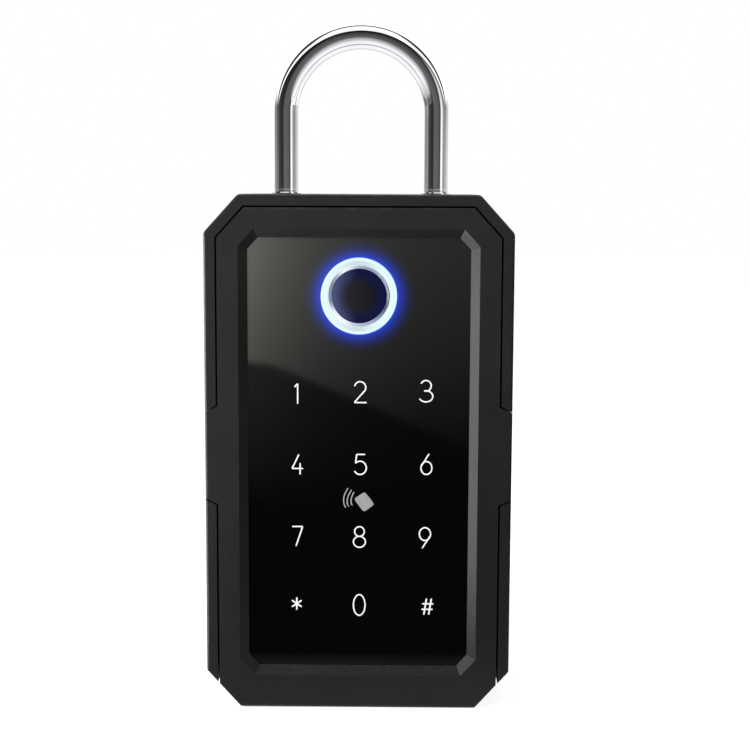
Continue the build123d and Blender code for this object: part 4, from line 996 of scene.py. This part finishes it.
class KEYBOX_OT_set_stage(bpy.types.Operator):
    """Sets the pale floor, the soft lamps, the cards and walls that gloss reflects, and the camera"""

    bl_idname = "key_box.set_stage"
    bl_label = "Set Stage"

    def execute(self, context):
        studio = context.scene.key_box_studio
        context.scene.view_settings.view_transform = "Standard"
        self.lay_floor(studio)
        self.light_world(context, studio)
        self.hang_cards(studio)
        self.build_walls()
        self.place_lamp("key_lamp", (-0.46, -0.36, 0.44), 0.45, studio.key)
        self.place_lamp("fill_lamp", (0.55, -0.30, 0.30), 0.5, studio.fill)
        self.place_camera(context)
        return {"FINISHED"}

    def lay_floor(self, studio):
        """A wide pale floor: it keeps shadows, and the camera sees it lifted to white.

        It lies a hair below the base, because the opened door has a face in the plane of the base.
        """
        material = bpy.data.materials.new("Pale floor")
        tree = cleared(material)
        position = Value(node(tree, "ShaderNodeTexCoord").outputs["Object"])
        _, mottle = grain(position, 800.0, 8.0)
        shade = mixed(mottle, studio.floor, scaled(studio.floor, 0.985))
        matt = node(tree, "ShaderNodeBsdfDiffuse", {"Color": shade})
        seen = Value(node(tree, "ShaderNodeLightPath").outputs["Is Camera Ray"])
        lift = node(tree, "ShaderNodeEmission", {"Strength": seen * studio.floor_lift})
        total = node(tree, "ShaderNodeAddShader", {0: matt.outputs[0], 1: lift.outputs[0]})
        node(tree, "ShaderNodeOutputMaterial", {"Surface": total.outputs[0]})
        flat_card("floor", (-3.0, -3.0, -0.0003), (6.0, 0, 0), (0, 6.0, 0), material, steps=9)

    def light_world(self, context, studio):
        """White where camera, gloss or glass look past everything, and a plain soft light for the rest."""
        world = bpy.data.worlds.new("Studio")
        context.scene.world = world
        tree = cleared(world)
        path = node(tree, "ShaderNodeLightPath").outputs
        camera, gloss, glass = (Value(path["Is %s Ray" % kind]) for kind in ("Camera", "Glossy", "Transmission"))
        seen = maths("MAXIMUM", maths("MAXIMUM", camera, gloss), glass)
        strength = ranged(seen, 0.0, 1.0, studio.ambient, 1.0)
        light = node(tree, "ShaderNodeBackground", {"Color": WHITE, "Strength": strength})
        node(tree, "ShaderNodeOutputWorld", {"Surface": light.outputs[0]})

    def hang_cards(self, studio):
        """What glass, paint and chrome reflect: light in front, at the left and above, and dark cloths elsewhere."""
        def front_light(position):
            """Brightest at the left, fading to the right, above a slanted edge with a faint spill below it."""
            x, _, z = parts(position)
            start, foot = x + 0.0532, ranged(x, -0.064, -0.056)
            fade = maths("MINIMUM", maths("EXPONENT", start * (-1 / 0.0274)) * 0.84 + 0.16, 1.1)
            edge = maths("SMOOTH_MIN", x * -0.425 + 0.0455, 0.0657, 0.006)
            above = ranged(z - edge, -0.0022, 0.0022, smooth=True)
            lit = fade * foot * above * ranged(z, 0.0332, 0.1178, 0.13, 1.0)
            spill = maths("EXPONENT", start * (-1 / 0.035)) * foot * ranged(z, 0.005, 0.065, 0.012, 0.125)
            return (lit + spill) * studio.front_card

        def floor_light(position):
            """Black on the ground in front, and lighter close to the box."""
            return ranged(parts(position)[1], -0.068, -0.046, 0.004, 0.35)

        def low_light(position):
            """A patch with soft sides."""
            x, y, _ = parts(position)
            wide = ranged(abs(x + 0.105), 0.045, 0.010, smooth=True)
            deep = ranged(abs(y + 0.0625), 0.0375, 0.008, smooth=True)
            return wide * deep * (2.4 * studio.side_card)

        def side_light(position):
            """Fades towards the back and rises towards the top."""
            _, y, z = parts(position)
            return ranged(y, -0.01, 0.06, 1.25, 0.14) * ranged(z, 0.05, 0.12, 1.0, 1.55) * studio.side_card

        def upward_light(position):
            """Keeps the underside of the arch bright, with one grey line and darker towards its feet."""
            x, y, _ = parts(position)
            line = ranged(abs(y + (x * x * 3.4 + 0.002)), 0.0015, 0.0075, 0.4, 1.0, smooth=True)
            aside = x * 1.2
            forward = abs(y - 0.009) / maths("SQRT", aside * aside + 0.0413 ** 2)
            near = 0.9 / maths("MAXIMUM", forward, 0.9)
            foot = ranged(x, -0.15, -0.045, 0.15, 1.0)
            return near ** (abs(x) * 9.0 + 0.65) * foot * line * 1.2

        hang_card("front_card", (-0.1, -0.3, 0.0), (0.2, 0, 0), (0, 0, 0.125), front_light, tint=(0.985, 1.0, 0.90))
        hang_card("floor_cloth", (-0.15, -0.30, 0.0005), (0.30, 0, 0), (0, 0.277, 0), floor_light)
        hang_card("low_card", (-0.15, -0.10, 0.001), (0.09, 0, 0), (0, 0.075, 0), low_light)
        hang_card("eave_cloth", (-0.06, -0.14, 0.1446), (0.21, 0, 0), (0, 0.115, 0), lambda position: 0.3)
        hang_card("side_cloth", (0.15, -0.25, 0.001), (0, 0.40, 0), (0, 0, 0.137), lambda position: 0.004)
        hang_card("side_card", (-0.15, 0.25, 0.001), (0, -0.35, 0), (0, 0, 0.137), side_light)
        hang_card("top_card", (-0.35, -0.35, 0.1452), (0.70, 0, 0), (0, 0.60, 0), upward_light, clear_behind=True)

    def build_walls(self):
        """Round wall of soft lights and dark gaps that the chrome reflects, as a sphere seen from inside.

        Brightness follows the direction round the box, from the camera's side, and gives way to a white roof.
        """
        centre, columns, rows, radius = (0.0, 0.009, 0.15), 64, 32, 0.62

        def wall_light(position):
            """Lights by the angle round the box; by pitch, a dark gap from 46 to 56 degrees and a roof from 57."""
            x, y, z = parts(vectors("SUBTRACT", position, centre))
            front = y * -1.0
            turn = maths("DEGREES", maths("ARCTAN2", x, front))
            wall = levelled(ranged(turn, -180, 180), [((angle + 180) / 360, level) for angle, level in WALL_LIGHTS])
            wall = wall * ranged(z, 0.0, 0.43, 1.0, 0.25) * ranged(z, -0.1, 0.0, 0.8, 1.0)
            pitch = maths("DEGREES", maths("ARCTAN2", z, front))
            gap = ranged(pitch, 40, 46) * ranged(pitch, 60, 56)
            leaning = pitch + ranged(abs(x), 0.20, 0.36, 0.0, 20)
            over = ranged(pitch, 57, 61, smooth=True) * ranged(leaning, 115, 107, smooth=True)
            back = ranged(pitch, 128, 136, smooth=True)
            seam = ranged(leaning, 100, 112) * (1.0 - back)
            wall = wall * (gap * -0.75 + 1.0) * (seam * -0.8 + 1.0)
            return wall + maths("MAXIMUM", over, back) * ranged(z, 0.08, 0.18, smooth=True) * 1.25

        turn = np.arange(columns) / columns * tau
        tilt = np.linspace(-pi / 2, pi / 2, rows + 1)[1:-1][:, None]
        reach = radius * np.cos(tilt)
        rings = np.stack([reach * np.cos(turn), reach * np.sin(turn), radius * np.sin(tilt) + 0 * turn], axis=-1)
        points, quads, fans = skin(rings + np.array(centre))
        material = glowing("Studio walls", wall_light)
        mesh = new_mesh("studio_walls", points, quads.tolist() + fans.tolist(), material)
        mesh.shade_smooth()
        walls = new_object("studio_walls", mesh)
        only_reflected(walls)

    def place_lamp(self, name, place, size, power):
        """A square soft lamp that looks at the middle of the box and isn't seen in gloss."""
        light = bpy.data.lights.new(name, "AREA")
        light.shape = "SQUARE"
        light.size = size
        light.energy = power
        lamp = new_object(name, light)
        lamp.location = place
        look = Vector((0.0, 0.0, 0.09)) - Vector(place)
        lamp.rotation_euler = look.to_track_quat("-Z", "Y").to_euler()
        lamp.visible_glossy = False

    def place_camera(self, context):
        """Camera in front of the box and level with its top, turned by a quarter of a degree."""
        camera = bpy.data.cameras.new("camera")
        camera.lens = CAMERA_LENS
        camera.sensor_width = 36.0
        back = Vector(CAMERA_BACK).normalized()
        side = Vector((-back.y, back.x, 0.0)).normalized()
        up = back.cross(side)
        roll = radians(CAMERA_ROLL)
        right = side * cos(roll) + up * sin(roll)
        top = up * cos(roll) - side * sin(roll)
        eye = new_object("camera", camera)
        eye.matrix_world = Matrix.Translation(CAMERA_PLACE) @ Matrix((right, top, back)).transposed().to_4x4()
        context.scene.camera = eye


class KEYBOX_PT_panel(bpy.types.Panel):
    """Steps that dress the key box"""

    bl_idname = "KEYBOX_PT_panel"
    bl_label = "Key Box"
    bl_space_type = "VIEW_3D"
    bl_region_type = "UI"
    bl_category = "Key Box"

    def draw(self, context):
        layout = self.layout
        for group, operators in STEPS:
            box = layout.box()
            settings = getattr(context.scene, group)
            for key in settings.__annotations__:
                box.prop(settings, key)
            for operator in operators:
                box.operator(operator.bl_idname)


STEPS = (
    ("key_box_paint", (KEYBOX_OT_paint_housing,)),
    ("key_box_keypad", (KEYBOX_OT_finish_glass, KEYBOX_OT_print_keypad)),
    ("key_box_reader", (KEYBOX_OT_make_light_ring, KEYBOX_OT_make_bezel, KEYBOX_OT_make_reader)),
    ("key_box_shackle", (KEYBOX_OT_make_shackle, KEYBOX_OT_finish_fittings)),
    ("key_box_studio", (KEYBOX_OT_set_stage,)),
)
GROUPS = {
    "key_box_paint": KeyBoxPaint, "key_box_keypad": KeyBoxKeypad, "key_box_reader": KeyBoxReader,
    "key_box_shackle": KeyBoxShackle, "key_box_studio": KeyBoxStudio,
}
CLASSES = (
    *GROUPS.values(), *(operator for _, operators in STEPS for operator in operators), KEYBOX_PT_panel,
)


def register():
    """Registers the classes and hangs the property groups on the scene."""
    for cls in CLASSES:
        bpy.utils.register_class(cls)
    for name, cls in GROUPS.items():
        setattr(bpy.types.Scene, name, bpy.props.PointerProperty(type=cls))


def unregister():
    """Takes back what register does."""
    for name in GROUPS:
        delattr(bpy.types.Scene, name)
    for cls in reversed(CLASSES):
        bpy.utils.unregister_class(cls)


def main():
    """Dresses the part step by step."""
    register()
    bpy.ops.key_box.paint_housing()
    bpy.ops.key_box.finish_glass()
    bpy.ops.key_box.print_keypad()
    bpy.ops.key_box.make_light_ring()
    bpy.ops.key_box.make_bezel()
    bpy.ops.key_box.make_reader()
    bpy.ops.key_box.make_shackle()
    bpy.ops.key_box.finish_fittings()
    bpy.ops.key_box.set_stage()
    bpy.context.view_layer.update()


if __name__ == "__main__":
    main()
